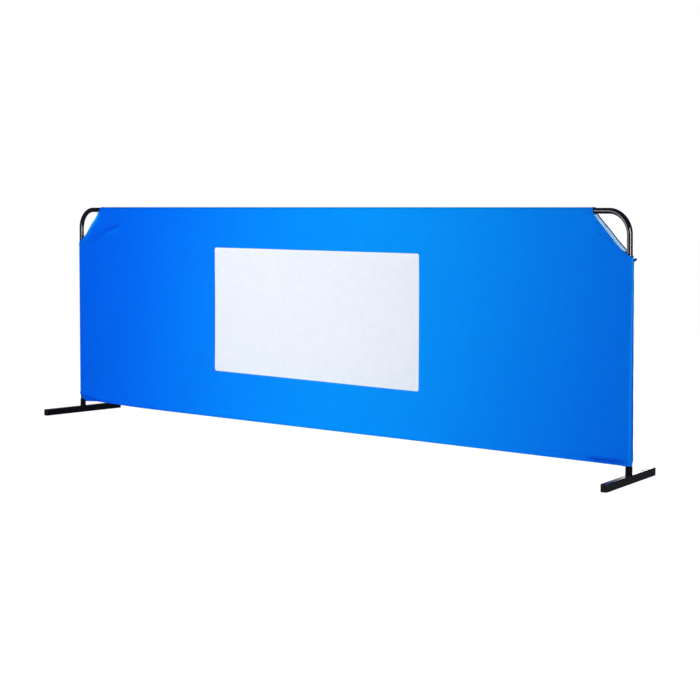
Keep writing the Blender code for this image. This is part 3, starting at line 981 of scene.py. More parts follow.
@dataclass(frozen=True)
class CornerCut:
    """The edge of one corner of the cover that is cut away.

    Attributes:
        sleeve_end: Where the sleeve over the top rail ends, from the panel's middle.
        seam_end: Height where the side seam ends.
        roll: How far the edge rolls inwards between the tubes.
        shares: Each cloth's edge, as shares of the way out and of the way down.
    """

    sleeve_end: float
    seam_end: float
    roll: float
    shares: dict[Face, tuple[Place, ...]]

    # Points along an edge.
    STEPS = 40

    def line(self, face: Face, shape: "CoverShape", over_sleeve: float = 0.0) -> Grid:
        """The whole cut edge on the flat cloth, from the sleeve's back to the side seam.

        Args:
            face: Which cloth.
            shape: The cover's shape.
            over_sleeve: How far the edge runs on over the top rail.

        Returns:
            Points across and up, both as distances, with across always positive.
        """
        top = shape.layout.top_z
        across = np.linspace(self.sleeve_end, shape.reach(face), self.STEPS)
        share = (across - self.sleeve_end) / (shape.edge_reach(face) - self.sleeve_end)
        down = np.interp(share, *np.array(self.shares[face]).T)
        cut = np.stack([across, top - down * (top - self.seam_end)], axis=1)
        if not over_sleeve:
            return cut
        up = np.linspace(top + over_sleeve, top, self.STEPS // 2)[:-1]
        return np.concatenate([np.stack([np.full(up.shape, self.sleeve_end), up], axis=1), cut])


@dataclass(frozen=True)
class CoverShape:
    """Where the stretched cover lies: flat coordinates on the cloth to places on the barrier.

    Across is the distance from the panel's middle along the cloth, also round the uprights. Up is the
    height on the flat panel, and runs on over the top rail and under the bottom rail.
    """

    layout: Layout
    thickness: float = 0.0006
    seam_gap: float = 0.00015

    # How far the lower edge hangs under the bottom rail, by distance from the panel's middle.
    SLACK = ((-1.140, 0.0072), (-1.115, 0.0060), (-1.080, 0.0032), (-1.025, 0.0046), (-0.94, 0.0062),
             (-0.83, 0.0072), (-0.67, 0.0070), (-0.33, 0.0055), (0.03, 0.0041), (0.36, 0.0024),
             (0.80, 0.0010), (1.04, 0.0003))

    @property
    def sleeve_turn(self) -> float:
        """How far the cloth runs over the top rail."""
        return math.pi * self.layout.cloth_out

    @property
    def flap_turn(self) -> float:
        """How far the cloth runs under the bottom rail, half way round at the mean of its radii."""
        return math.pi * (3 * self.layout.cloth_out + self.layout.flap_out) / 4

    def reach(self, face: Face) -> float:
        """Distance along a cloth from the panel's middle to the side seam, behind the upright's side."""
        turn = math.pi / 2 - face.value * self.layout.seam_turn
        return self.layout.half_spacing + turn * self.layout.cloth_out - self.seam_gap

    def edge_reach(self, face: Face) -> float:
        """Distance along a cloth to where a corner's cut edge has come all the way down."""
        return min(self.layout.half_spacing + math.pi / 2 * self.layout.cloth_out, self.reach(face))

    def place(self, face: Face, across: Grid, up: Grid, lift: Any, hanging: bool = False) -> Grid:
        """Places of points on the cloth.

        Args:
            face: Which cloth.
            across: Signed distances along the cloth from the panel's middle.
            up: Heights on the cloth.
            lift: Height over the plain stretched cloth.
            hanging: Whether the cloth hangs straight down past the bottom rail.

        Returns:
            The points, as an array that ends in x, y, z.
        """
        layout = self.layout
        out = layout.cloth_out + lift
        side = np.maximum((np.abs(across) - layout.half_spacing) / layout.cloth_out, 0.0)
        over = np.clip((up - layout.top_z) / layout.cloth_out, 0.0, math.pi)
        below = 0.0 * up if hanging else layout.rail_z - up
        under = np.clip(below / (self.flap_turn / math.pi), 0.0, math.pi)
        behind = (layout.flap_out - layout.cloth_out) / 2 if face is Face.FRONT else 0.0
        drop = np.maximum(up - layout.top_z - self.sleeve_turn, 0.0)
        rise = np.maximum(below - self.flap_turn, 0.0)
        depth = out * np.cos(over) + (behind + out) * (np.cos(under) - 1.0)
        reach = np.minimum(np.abs(across), layout.half_spacing) + out * np.sin(side) * np.cos(under)
        level = np.minimum(up, layout.top_z) if hanging else np.clip(up, layout.rail_z, layout.top_z)
        slack = np.interp(across, *np.array(self.SLACK).T)
        x = np.sign(across) * reach + layout.centre_x
        z = level + out * (np.sin(over) - np.sin(under)) - slack * np.sin(under) - drop + rise
        return np.stack([x, face.value * depth * np.cos(side), z], axis=-1)


@dataclass
class Cover:
    """The sewn cloth cover: two sheets, hems on the corner cuts, side bindings, closure and stitches."""

    workshop: Workshop
    layout: Layout
    hem_width: float = 0.008
    hem_lift: float = 0.0004
    hem_step: float = 0.0008
    hem_slant: float = 1.45
    hem_gap: float = 0.00012
    hem_edge: float = 0.0004
    hem_cloth: float = 0.0005
    hem_short: int = 5
    hem_ease: Place = (0.004, 0.035)
    hem_reach: float = 4.0
    roll_hems: float = 1.6
    tube_gap: float = 0.0001
    other_cloth_gap: float = 0.0012
    lap: float = 0.010
    lap_step: float = 0.004
    lap_lift: float = 0.0008
    flap_step: float = 0.007
    stitch_pitch: float = 0.0036
    stitch_half: float = 0.0013
    thread_r: float = 0.00028
    thread_lie: float = 0.35
    seam_step: float = 0.01
    flap_seams: Place = (0.003, 0.025)
    flap_side: float = 0.004
    flap_points: int = 40
    sleeve_seams: Place = (0.0025, 0.007)
    sleeve_side: float = 0.003
    sleeve_seam_end: float = 0.002
    binding_cloth: float = 0.0007
    binding_arc: float = math.radians(36.0)
    binding_seam: float = 0.36
    binding_ridge: float = 0.0005
    binding_ridge_turn: float = 0.10
    binding_margin: float = 0.003
    binding_step: float = 0.012
    binding_points: tuple[int, int] = (15, 50)
    tail_length: float = 0.009
    tail_height: float = 0.009
    tail_lift: float = 0.004
    tail_curl: float = 1.5
    tail_taper: float = 0.6
    tail_lap: float = 0.0004
    tail_bend: Place = (0.0006, 4.0)
    tail_points: tuple[int, int] = (9, 6)
    corner_drop: float = 0.0080
    # Width of the painted light along the left cuts.
    drawn_width: float = 0.014
    middle_step: float = 0.014
    corner_step: float = 0.0045
    corner_reach: float = 0.16
    mark_step: float = 0.01
    wrap_step: float = 0.0013
    wrap_steps: int = 12
    skirt_rows: int = 5
    tip_rises: Place = (0.0125, 0.001)
    tape_show: float = 0.0125
    tape_lap: float = 0.0015
    tape_end: Place = (0.022, 0.008)
    tape_rows: int = 5
    overlock_width: float = 0.0030
    overlock_r: float = 0.0009
    overlock_pitch: float = 0.0021
    overlock_overlap: float = 0.6
    closure_step: float = 0.02
    closure_rows: int = 7
    closure_gap: float = 0.0001
    shape: CoverShape = field(init=False)
    cuts: dict[Side, CornerCut] = field(init=False)

    FOLDS = {
        Face.FRONT: (
            Fold(((-1.026, 0.5865), (-0.985, 0.603), (-0.925, 0.622)), 0.0060, -0.0016),
            Fold(((-1.030, 0.57), (-0.980, 0.588), (-0.930, 0.603)), 0.0110, 0.0012),
            Fold(((-1.090, 0.576), (-1.030, 0.588)), 0.0120, 0.0010),
            Fold(((1.046, 0.616), (1.080, 0.603), (1.112, 0.59)), 0.0050, -0.0011),
            Fold(((1.040, 0.603), (1.110, 0.578)), 0.0100, 0.0008),
            Fold(((-0.900, -0.011), (-1.030, -0.0075), (-1.110, -0.0025), (-1.168, 0.004)),
                 0.0042, -0.0024, 0.2),
            Fold(((0.800, -0.002), (0.940, 0.006), (1.070, 0.0045), (1.168, -0.002)), 0.0070, -0.0030, 0.3),
            Fold(((-0.860, 0.023), (-0.780, 0.03), (-0.700, 0.026)), 0.0120, -0.0008),
            Fold(((0.560, 0.004), (0.640, 0.014), (0.700, 0.006)), 0.0100, -0.0010),
            Fold(((0.720, 0.023), (0.800, 0.034), (0.900, 0.024)), 0.0140, -0.0012),
            Fold(((-1.150, 0.538), (-1.120, 0.428), (-1.135, 0.248)), 0.0200, 0.0010),
            Fold(((1.140, 0.538), (1.125, 0.368), (1.135, 0.188)), 0.0200, 0.0010),
            Fold(((-1.164, 0.0135), (-1.173, 0.0120)), 0.0060, 0.0035),
        ),
        Face.BACK: (
            Fold(((-1.060, 0.608), (-0.980, 0.63), (-0.900, 0.638)), 0.0070, -0.0013),
            Fold(((1.020, 0.593), (0.960, 0.61), (0.890, 0.616)), 0.0070, -0.0014),
            Fold(((-0.760, 0.048), (-0.600, 0.056), (-0.450, 0.046)), 0.0160, -0.0012),
            Fold(((0.300, 0.044), (0.480, 0.054), (0.640, 0.046)), 0.0150, -0.0011),
            Fold(((-1.150, 0.068), (-1.060, 0.108), (-0.960, 0.123)), 0.0110, -0.0012),
            Fold(((1.150, 0.063), (1.080, 0.098), (0.990, 0.113)), 0.0110, -0.0012),
        ),
    }
    # Height, length, rise and phase of each slow wave, and how near the tubes the waves fade.
    WAVES = ((0.0011, 0.83, 0.61, 0.4), (0.0007, 0.47, 0.93, 2.1), (0.0004, 0.29, 0.38, 4.0))
    WAVE_EASE = 0.12
    # Height, length and phase of each pucker along the bottom rail, and where the puckers are.
    PUCKERS = ((0.00045, 0.083, 0.7), (0.00030, 0.057, 2.9), (0.00020, 0.031, 5.1))
    PUCKER_Z, PUCKER_REACH, PUCKER_EASE = 0.012, 0.030, 0.05
    # Each wave's height with its radians per metre: where the side seams wander, and across and up
    # the closure's tapes.
    WANDER = ((0.0003, 97.0), (0.0002, 41.0))
    RIPPLE = (0.00008, 61.0, 300.0)
    # The cut edges, as shares of the way out and down, and each cut's moves of its ends and its roll.
    LEFT_EDGE = ((0.0, 0.0), (0.13, 0.155), (0.41, 0.44), (0.62, 0.70), (0.80, 0.86), (0.93, 0.96),
                 (1.0, 1.0))
    RIGHT_EDGE = ((0.0, 0.0), (0.06, 0.12), (0.33, 0.42), (0.55, 0.67), (0.75, 0.85), (0.88, 0.935),
                  (1.0, 1.0))
    RIGHT_BACK_EDGE = ((0.0, 0.0), (0.062, 0.10), (0.341, 0.375), (0.568, 0.62), (0.775, 0.82),
                       (0.909, 0.92), (1.0, 1.0))
    LEFT_CUT, RIGHT_CUT = (-0.0015, 0.0025, 0.0030), (0.0, 0.001, 0.0010)
    # How far the lower corners hang, from the hem's end to the upright's outer side.
    PLAIN_DROPS = ((0.0, 0.0088), (0.51, 0.0080), (0.75, 0.0046), (1.0, 0.0012))
    FRONT_DROPS = {
        Side.LEFT: ((0.0, 0.0066), (0.36, 0.0036), (0.51, 0.0014), (0.74, 0.0006), (1.0, 0.0006)),
        Side.RIGHT: ((0.0, 0.0088), (0.51, 0.0090), (0.80, 0.0086), (1.0, 0.0074)),
    }
    # Heights over the bottom rail's axis between which rows of points lie, with their longest steps.
    LOW_ROWS = (0.0, 0.05, 0.09, 0.49), (0.0035, 0.005, 0.0125)
    # The painted light along the left cut's edge: where it fades near the top rail and near its end, its
    # strength low down, the part of its width that is at full strength, and where the strength rises below
    # the rail.
    THIN_TOP, THIN_END, THIN_SHARE, THIN_FULL = (0.004, 0.020), 0.06, 0.72, 0.3
    PAINTED_LIGHT_RISE = (0.10, 0.03)
    # The painted highlight band round the right upright: its place and its strength, each at the floor and
    # as a change per metre up, and its half width.
    RIDGE, RIDGE_SHADE, RIDGE_HALF = (0.0050, 0.0155), (0.30, 0.9), 0.0020
    # The nodes that the cloth is stretched over, and how near two places are the same.
    RESTS = ("frame_tube_left", "frame_tube_right", "bottom_rail_left", "bottom_rail_right")
    SAME = 1e-6

    def __post_init__(self) -> None:
        """Set out the cover on the frame."""
        self.shape = CoverShape(self.layout)
        sleeve, seam = round(self.layout.sleeve_half, DIGITS), self.layout.seam_top_z
        edges = {Side.LEFT: (self.LEFT_CUT, self.LEFT_EDGE, self.LEFT_EDGE),
                 Side.RIGHT: (self.RIGHT_CUT, self.RIGHT_EDGE, self.RIGHT_BACK_EDGE)}
        self.cuts = {side: CornerCut(sleeve + out, seam + over, roll, dict(zip(Face, shares)))
                     for side, ((out, over, roll), *shares) in edges.items()}

    def edge_distance(self, face: Face, side: Side, across: Grid, up: Grid) -> Grid:
        """Distance on the cloth from a corner's cut edge."""
        line = self.cuts[side].line(face, self.shape, self.shape.sleeve_turn)
        return near_line(line, np.abs(across), up)[0]

    def lift(self, face: Face, across: Grid, up: Grid) -> Grid:
        """Height of the cloth over a plain stretched sheet: waves, folds, puckers and corner hems.

        Args:
            face: Which cloth.
            across: Signed distances along the cloth.
            up: Heights on the cloth.

        Returns:
            The heights, with the cloth's inner side kept off the tubes and off the other cloth.
        """
        layout = self.layout
        sides = (layout.half_spacing - np.abs(across), layout.top_z - up, up - layout.rail_z)
        beside, below, above = sides
        inner = math.prod(smooth_step(away, 0.0, self.WAVE_EASE) for away in sides)
        lift = np.zeros(across.shape)
        for height, length, rise, phase in self.WAVES:
            wave = np.sin(2 * math.pi * across / length + phase + face.value)
            lift += height * wave * np.sin(2 * math.pi * up / rise + phase) * inner
        for fold in self.FOLDS[face]:
            lift += fold.at(across, above)
        low = np.exp(-((above - self.PUCKER_Z) / self.PUCKER_REACH) ** 2) * (above > 0.0)
        low *= smooth_step(beside, 0.0, self.PUCKER_EASE)
        for height, length, phase in self.PUCKERS:
            lift += height * np.sin(2 * math.pi * across / length + phase * (2 + face.value)) * low
        free = smooth_step(beside, *self.hem_ease) * smooth_step(below, *self.hem_ease)
        for side, cut in self.cuts.items():
            away = self.edge_distance(face, side, across, up)
            near = (np.sign(across) == side.value) & (away < self.hem_reach * self.hem_width)
            hem = self.hem_lift * (1.0 - smooth_step(away, self.hem_width - self.hem_step, self.hem_width))
            roll = cut.roll * (1.0 - np.clip(away / (self.roll_hems * self.hem_width), 0.0, 1.0)) ** 2 * free
            lift += np.where(near, hem - roll, 0.0)
        deepest = np.full(across.shape, self.other_cloth_gap)
        for away in sides:
            inside = np.clip(away, 0.0, layout.tube_r)
            deepest = np.maximum(deepest, np.sqrt(layout.tube_r ** 2 - inside ** 2) + self.tube_gap)
        return np.maximum(lift, deepest + self.shape.thickness - layout.cloth_out)

    def surface(self, face: Face, across: Grid, up: Grid, over: float = 0.0, hanging: bool = False) -> Grid:
        """Places on the finished cloth's outer side, or at a height over it.

        Args:
            face: Which cloth.
            across: Signed distances along the cloth.
            up: Heights on the cloth.
            over: Height over the cloth, negative for under its outer side.
            hanging: Whether the cloth hangs straight down past the bottom rail.

        Returns:
            The points, as an array that ends in x, y, z.
        """
        half_turn = self.shape.sleeve_turn / 2
        lapped = np.clip((up - self.layout.top_z - half_turn) / half_turn, 0.0, 1.0)
        return self.shape.place(face, across, up, self.lift(face, across, up) + self.lap_lift * lapped + over,
                                hanging)

    def hem_marks(self) -> tuple[float, ...]:
        """Distances from a cut edge at which the cloth has points, for the hem's shape."""
        return 0.0, self.hem_width / 2, self.hem_width - self.hem_step, self.hem_width

    def columns(self, face: Face) -> Grid:
        """Places along a cloth for its columns of points, closer at the corners.

        Args:
            face: Which cloth.

        Returns:
            The places, from seam to seam.
        """
        layout = self.layout
        marks = sorted({round(cut.sleeve_end - mark, DIGITS)
                        for cut in self.cuts.values() for mark in self.hem_marks()})
        keys = [0.0, marks[0] - self.corner_reach, *marks, layout.hem_half, layout.half_spacing,
                self.shape.reach(face)]
        steps = [self.middle_step, self.corner_step] + [self.mark_step] * (len(marks) - 1)
        half = spread(keys, steps + [self.corner_step, self.corner_step, self.wrap_step])
        return np.concatenate([-half[:0:-1], half])

    def tip_rise(self, face: Face, columns: Grid) -> Grid:
        """How far a cloth's lower edge is pulled up round the uprights."""
        rises = np.where(columns < 0.0, *self.tip_rises)
        return rises * smooth_step(np.abs(columns), self.layout.hem_half, self.shape.edge_reach(face))

    def skirt_drop(self, face: Face, side: Side, columns: Grid) -> Grid:
        """How far a corner of a cloth hangs down past the bottom rail's axis.

        Args:
            face: Which cloth.
            side: Which corner.
            columns: Places along the cloth.

        Returns:
            The drop at each place.
        """
        start = self.layout.hem_half
        share = (np.abs(columns) - start) / (self.shape.edge_reach(face) - start)
        drops = self.FRONT_DROPS[side] if face is Face.FRONT else self.PLAIN_DROPS
        return np.interp(share, *np.array(drops).T)

    def inset(self, line: Grid, width: float) -> Grid:
        """A line's points, moved onto the cloth by a width.

        Args:
            line: The points, in order.
            width: How far they move.

        Returns:
            The moved points.
        """
        along = np.gradient(line, axis=0)
        along /= np.linalg.norm(along, axis=1)[:, None]
        return line + np.stack([along[:, 1], -along[:, 0]], axis=1) * width

    def own_edge(self, face: Face, side: Side) -> Grid:
        """Points of a sheet's own edge at a cut corner: the back sheet stops short and leaves the tape bare.

        Args:
            face: Which cloth.
            side: Which corner.

        Returns:
            Points across and up, as distances, from the top rail outwards.
        """
        layout = self.layout
        line = self.cuts[side].line(face, self.shape)
        if face is Face.FRONT:
            return line
        bare = 1.0 - smooth_step(line[:, 0], *(layout.half_spacing - end for end in self.tape_end))
        line = line + (self.inset(line, self.tape_show) - line) * bare[:, None]
        line[:, 0] = np.maximum.accumulate(line[:, 0])
        return np.concatenate([[[line[0, 0] - self.hem_step, layout.top_z]], line])

    def face_band(self, face: Face, columns: Grid) -> tuple[Grid, Grid]:
        """Flat coordinates of the panel between the rails, with both corners cut away.

        Args:
            face: Which cloth.
            columns: Places along the cloth.

        Returns:
            Across and up, as rows by columns.
        """
        layout = self.layout
        top = np.full(columns.shape, layout.top_z)
        for side in Side:
            edge, along = self.own_edge(face, side), side.value * columns
            top = np.where(along > edge[0, 0], np.interp(along, *edge.T), top)
        low = spread(*self.LOW_ROWS)
        rise = self.tip_rise(face, columns)
        rows = [layout.rail_z + height + rise * (1.0 - height / low[-1]) for height in low]
        start, end = rows[-1], top - 2 * self.hem_width * self.hem_slant
        count = math.ceil((layout.top_z - layout.rail_z - low[-1]) / self.corner_step)
        rows += [start + (end - start) * i / count for i in range(1, count + 1)]
        rows += [top - mark * self.hem_slant for mark in reversed(self.hem_marks())]
        up = np.stack(rows)
        return np.broadcast_to(columns, up.shape), up

    def bands(self, face: Face) -> list[tuple[Grid, Grid, bool]]:
        """The grids of flat coordinates that make up one sheet.

        Args:
            face: Which cloth.

        Returns:
            Across, up and whether it hangs past the rail, for each grid. Neighbours share their edge points.
        """
        layout, shape = self.layout, self.shape
        columns = self.columns(face)
        found = [(*self.face_band(face, columns), False)]
        turn = layout.cloth_out * math.pi / self.wrap_steps
        if face is Face.FRONT:
            top = layout.top_z + shape.sleeve_turn
            left, right = (self.cuts[side].sleeve_end + self.SAME for side in Side)
            over = spread([layout.top_z, top, top + self.lap], [turn, self.lap_step])
            found.append((*np.meshgrid(columns[(columns > -left) & (columns < right)], over), False))
            low = layout.rail_z - shape.flap_turn
            keys = [low - (layout.flap_top_z - layout.rail_z), low, layout.rail_z]
            flap = columns[np.abs(columns) < layout.hem_half + self.SAME]
            found.append((*np.meshgrid(flap, spread(keys, [self.flap_step, turn])), False))
        for side in Side:
            outer = columns[side.value * columns > layout.hem_half - self.SAME]
            share = np.linspace(1.0, 0.0, self.skirt_rows)[:, None]
            up = layout.rail_z + self.tip_rise(face, outer) - share * self.skirt_drop(face, side, outer)
            found.append((np.broadcast_to(outer, up.shape), up, True))
        return found

    def drawn_thin(self, face: Face, across: Grid, up: Grid) -> Grid:
        """How much light is painted on the cloth: along the left cuts, and as a highlight band round the
        right upright.

        Args:
            face: Which cloth.
            across: Signed distances along the cloth.
            up: Heights on the cloth.

        Returns:
            Shares from 0 to 1.
        """
        layout = self.layout
        away = self.edge_distance(face, Side.LEFT, across, up)
        free = smooth_step(layout.top_z - up, *self.THIN_TOP)
        free = free * smooth_step(layout.half_spacing + across, 0.0, self.THIN_END)
        full = smooth_step(up, *(layout.top_z - below for below in self.PAINTED_LIGHT_RISE))
        share = self.THIN_SHARE + (1.0 - self.THIN_SHARE) * full
        # Painted light along the left cut's edge.
        cut = (across < 0.0) * free * share * (
            1.0 - smooth_step(away, self.THIN_FULL * self.drawn_width, self.drawn_width))
        # Painted highlight band round the right upright.
        ridge = layout.half_spacing + self.RIDGE[0] + self.RIDGE[1] * up
        shade = self.RIDGE_SHADE[0] + self.RIDGE_SHADE[1] * up
        return np.clip(cut + np.exp(-((across - ridge) / self.RIDGE_HALF) ** 2) * shade, 0.0, 1.0)

    def sheet(self, face: Face) -> tuple[Item, float]:
        """Make one of the two sheets.

        Args:
            face: Which cloth.

        Returns:
            The sheet, with its thickness as a modifier, and its flat area.
        """
        points, flats, drawn, area = [], [], [], 0.0
        for across, up, hanging in self.bands(face):
            points.append(self.surface(face, across, up, hanging=hanging))
            flats.append(np.stack([across, up], axis=-1))
            drawn.append(self.drawn_thin(face, across, up))
            rises = np.diff(up, axis=0)
            area += float((np.diff(across, axis=1)[:-1] * (rises[:, :-1] + rises[:, 1:]) / 2).sum())
        mesh = self.workshop.grid(f"cover_{face.word}_cloth", points, flats, drawn)
        if face is Face.BACK:
            mesh.flip_normals()
        item = self.workshop.piece(mesh, PRINTS_WITH_PAINTED_LIGHT[face], LINING, EDGE_CLOTH)
        self.workshop.thicken(item, self.shape.thickness, material_offset=1, material_offset_rim=2)
        LOG.info("%s: %.3f square metres of cloth", item.name, area)
        return item, area

    def edge_rows(self, face: Face, side: Side, insets: Sequence[float], over_sleeve: float = 0.0) -> Grid:
        """Rows of places that follow a corner's cut edge at distances inside it.

        Args:
            face: Which cloth.
            side: Which corner.
            insets: Distance of each row from the edge.
            over_sleeve: How far the rows run on over the top rail.

        Returns:
            Signed across and up, each as rows by points along the edge.
        """
        line = self.cuts[side].line(face, self.shape, over_sleeve)
        rows = np.stack([self.inset(line, width) for width in insets])
        return np.stack([side.value * rows[..., 0], rows[..., 1]])

    def overlock(self, side: Side) -> Item:
        """The thread that is sewn over the outer edge of a back corner's tape.

        Args:
            side: Which corner.

        Returns:
            The piece.
        """
        deep = -(self.shape.thickness + self.hem_gap + self.hem_cloth / 2)
        across, up = self.edge_rows(Face.BACK, side, (self.overlock_r / 2,))[:, 0, :-self.hem_short]
        path, pitch = self.surface(Face.BACK, across, up, deep), self.overlock_pitch
        item = self.workshop.beaded(f"tape_overlock_{side.word}", [path], OVERLOCK, pitch=pitch,
                                    radius=self.overlock_r, half_length=pitch * self.overlock_overlap)
        return self.workshop.hold(item, Body.FRAME, Slot.BINDING)

    def cut_hem(self, face: Face, side: Side) -> Item:
        """The strip inside a corner's cut edge: lining in front, and at the back a wider tape that shows.

        Args:
            face: Which cloth.
            side: Which corner.

        Returns:
            The piece.
        """
        front, where = face is Face.FRONT, f"{face.word}_{side.word}"
        finishes = [LINING] if front else [CORNER_TAPE, OVERLOCK_EDGE]
        width = self.hem_width if front else self.tape_show + self.tape_lap
        insets = [self.hem_edge, *np.linspace(self.overlock_width, width, self.tape_rows)]
        across, up = self.edge_rows(face, side, insets)[..., :-self.hem_short]
        points = self.surface(face, across, up, -(self.shape.thickness + self.hem_gap))
        item = self.workshop.strip(f"corner_hem_{where}", points, (across, up), self.hem_cloth,
                                   face.value * side.value < 0, *finishes)
        if not front:
            for polygon in item.data.polygons[:points.shape[1] - 1]:
                polygon.material_index = 1
        return self.workshop.hold(item, Body.FRAME, Slot.LINING, f"cut_hem_{where}")

    def wander(self, side: Side, height: Grid) -> Grid:
        """How far a side seam wanders off its line, at heights."""
        (wide, often), (narrow, seldom) = self.WANDER
        return wide * np.sin(height * often + side.value) + narrow * np.sin(height * seldom)

    def seam_ends(self, side: Side, margin: float) -> tuple[float, float]:
        """Heights a margin inside a side seam's lower and upper end."""
        low = self.layout.rail_z + self.tip_rises[(side.value + 1) // 2]
        return low + margin, self.cuts[side].seam_end - margin

    def side_binding(self, side: Side) -> Item:
        """The binding tape over a side seam, with a raised middle.

        Args:
            side: Which side.

        Returns:
            The piece.
        """
        layout = self.layout
        radius, half_arc = layout.cloth_out + self.shape.seam_gap * 2, self.binding_arc / 2
        angles = layout.seam_turn + np.linspace(-half_arc, half_arc, self.binding_points[0])
        heights = spread(self.seam_ends(side, self.binding_margin), [self.binding_step])
        turn, level = np.meshgrid(angles, heights)
        ridge = self.binding_ridge * np.exp(-((turn - layout.seam_turn) / self.binding_ridge_turn) ** 2)
        out = radius + self.binding_cloth + ridge
        y = out * np.sin(turn) + self.wander(side, level)
        item = self.workshop.strip(
            f"seam_binding_{side.word}", layout.by_post(side, out * np.cos(turn), y, level),
            (radius * turn, level), self.binding_cloth, side is Side.LEFT, BINDING)
        return self.workshop.hold(item, Body.FRAME, Slot.BINDING, f"side_binding_{side.word}")

    def seam_tail(self, side: Side) -> Item:
        """The seam's loose end, which stands out above the side seam.

        Args:
            side: Which side.

        Returns:
            The piece.
        """
        layout = self.layout
        share, rise = np.meshgrid(np.linspace(0.0, 1.0, self.tail_points[0]),
                                  np.linspace(-1.0, 1.0, self.tail_points[1]) / 2)
        away = layout.cloth_out + self.binding_cloth - self.tail_lap + self.tail_length * share
        deep, often = self.tail_bend
        bend = deep * np.sin(share * often + rise) + self.binding_cloth / 2 * side.value
        turn_cos, turn_sin = math.cos(layout.seam_turn), math.sin(layout.seam_turn)
        middle = self.seam_ends(side, self.binding_margin)[1] - self.tail_height / 2
        height = rise * self.tail_height * (1.0 - self.tail_taper * share ** 2)
        points = layout.by_post(side, away * turn_cos - bend * turn_sin, away * turn_sin + bend * turn_cos,
                                middle + height + self.tail_lift * share ** self.tail_curl)
        item = self.workshop.strip(f"seam_tail_{side.word}", points, (points[..., 0], points[..., 2]),
                                   self.binding_cloth, side is Side.LEFT, BINDING)
        return self.workshop.hold(item, Body.FRAME, Slot.BINDING)

    def closure(self, word: str, finish: Finish) -> Item:
        """One tape of the hook and loop closure along the hem's back.

        Args:
            word: Which tape, as its CAD node's name has it.
            finish: Its finish.

        Returns:
            The piece.
        """
        low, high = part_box(f"{word}_tape")
        across, up = np.meshgrid(spread([low.x, high.x], [self.closure_step]),
                                 np.linspace(low.z, high.z, self.closure_rows))
        deep, along, rise = self.RIPPLE
        wave = deep * np.sin(across * along) * np.cos(up * rise)
        points = np.stack([across, high.y - self.closure_gap + wave, up], axis=-1)
        item = self.workshop.strip(f"{word}_strip", points, (across, up),
                                   high.y - low.y - 2 * self.closure_gap, True, finish)
        return self.workshop.hold(item, Body.FRAME, Slot.TAPE, f"{word}_tape")

    def seams(self) -> Iterable[tuple[str, Face, list[Grid]]]:
        """Every row of stitches.

        Yields:
            The name of each piece of stitches, the cloth that it is sewn on, and its paths.
        """
        layout, shape, lie = self.layout, self.shape, self.thread_r * self.thread_lie
        for face in Face:
            front = face is Face.FRONT
            over = shape.sleeve_turn + self.lap - self.sleeve_seam_end if front else 0.0
            inset = self.hem_width - 2 * self.hem_step if front else self.tape_show + self.hem_step
            for side in Side:
                across, up = self.edge_rows(face, side, (inset,), over)[:, 0, :-2]
                yield f"hem_stitches_{face.word}_{side.word}", face, [self.surface(face, across, up, lie)]
        end = layout.rail_z - shape.flap_turn - (layout.flap_top_z - layout.rail_z)
        half = layout.hem_half - self.flap_side
        across = spread([-half, half], [self.seam_step])
        rows = [self.surface(Face.FRONT, across, np.full(across.shape, end + inset), lie)
                for inset in self.flap_seams]
        up = np.linspace(end + self.flap_seams[0], layout.rail_z - self.flap_side, self.flap_points)
        rows += [self.surface(Face.FRONT, np.full(up.shape, place), up, lie) for place in (-half, half)]
        yield "flap_stitches", Face.FRONT, rows
        top = layout.top_z + shape.sleeve_turn + self.lap
        left, right = (self.cuts[side].sleeve_end - self.sleeve_side for side in Side)
        across = spread([-left, right], [self.seam_step])
        yield "sleeve_stitches", Face.FRONT, [
            self.surface(Face.FRONT, across, np.full(across.shape, top - inset), lie)
            for inset in self.sleeve_seams]
        out = layout.cloth_out + 2 * shape.seam_gap + self.binding_cloth + lie
        for side in Side:
            height = np.linspace(*self.seam_ends(side, 2 * self.binding_margin), self.binding_points[1])
            wander = self.wander(side, height)
            away = self.binding_seam * self.binding_arc
            yield f"seam_stitches_{side.word}", Face.FRONT, [
                layout.by_post(side, out * math.cos(turn), out * math.sin(turn) + wander, height)
                for turn in (layout.seam_turn - away, layout.seam_turn + away)]

    def build(self) -> None:
        """Make the whole cover and log the size of cloth that its two sheets are cut from."""
        layout, shape, hold = self.layout, self.shape, self.workshop.hold
        sheets = {face: self.sheet(face) for face in Face}
        hold(sheets[Face.FRONT][0], Body.FRAME, Slot.COVER, "cover_front", "cover_top_band", "hem_flap")
        hold(sheets[Face.BACK][0], Body.FRAME, Slot.COVER, "cover_back")
        extras: dict[Face, list[Item]] = {face: [] for face in Face}
        for name, face, paths in self.seams():
            item = self.workshop.beaded(name, paths, THREAD, pitch=self.stitch_pitch, radius=self.thread_r,
                                        half_length=self.stitch_half)
            extras[face].append(hold(item, Body.FRAME, Slot.BINDING))
        for face in Face:
            extras[face] += [self.cut_hem(face, side) for side in Side]
        for side in Side:
            extras[Face.FRONT] += [self.side_binding(side), self.seam_tail(side)]
            extras[Face.BACK].append(self.overlock(side))
        extras[Face.FRONT].append(self.closure("hook", HOOK_GRID))
        extras[Face.BACK].append(self.closure("loop", LOOP_PILE))
        panel = layout.top_z - layout.rail_z + self.corner_drop
        flap = shape.flap_turn + layout.flap_top_z - layout.rail_z - self.corner_drop
        lengths = {Face.FRONT: panel + shape.sleeve_turn + self.lap + flap, Face.BACK: panel}
        for face, (item, area) in sheets.items():
            width = 2 * shape.reach(face)
            list(self.RESTS)
            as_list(extras[face])
            LOG.info("%s: cut from %.3f by %.3f metres", item.name, width, lengths[face])


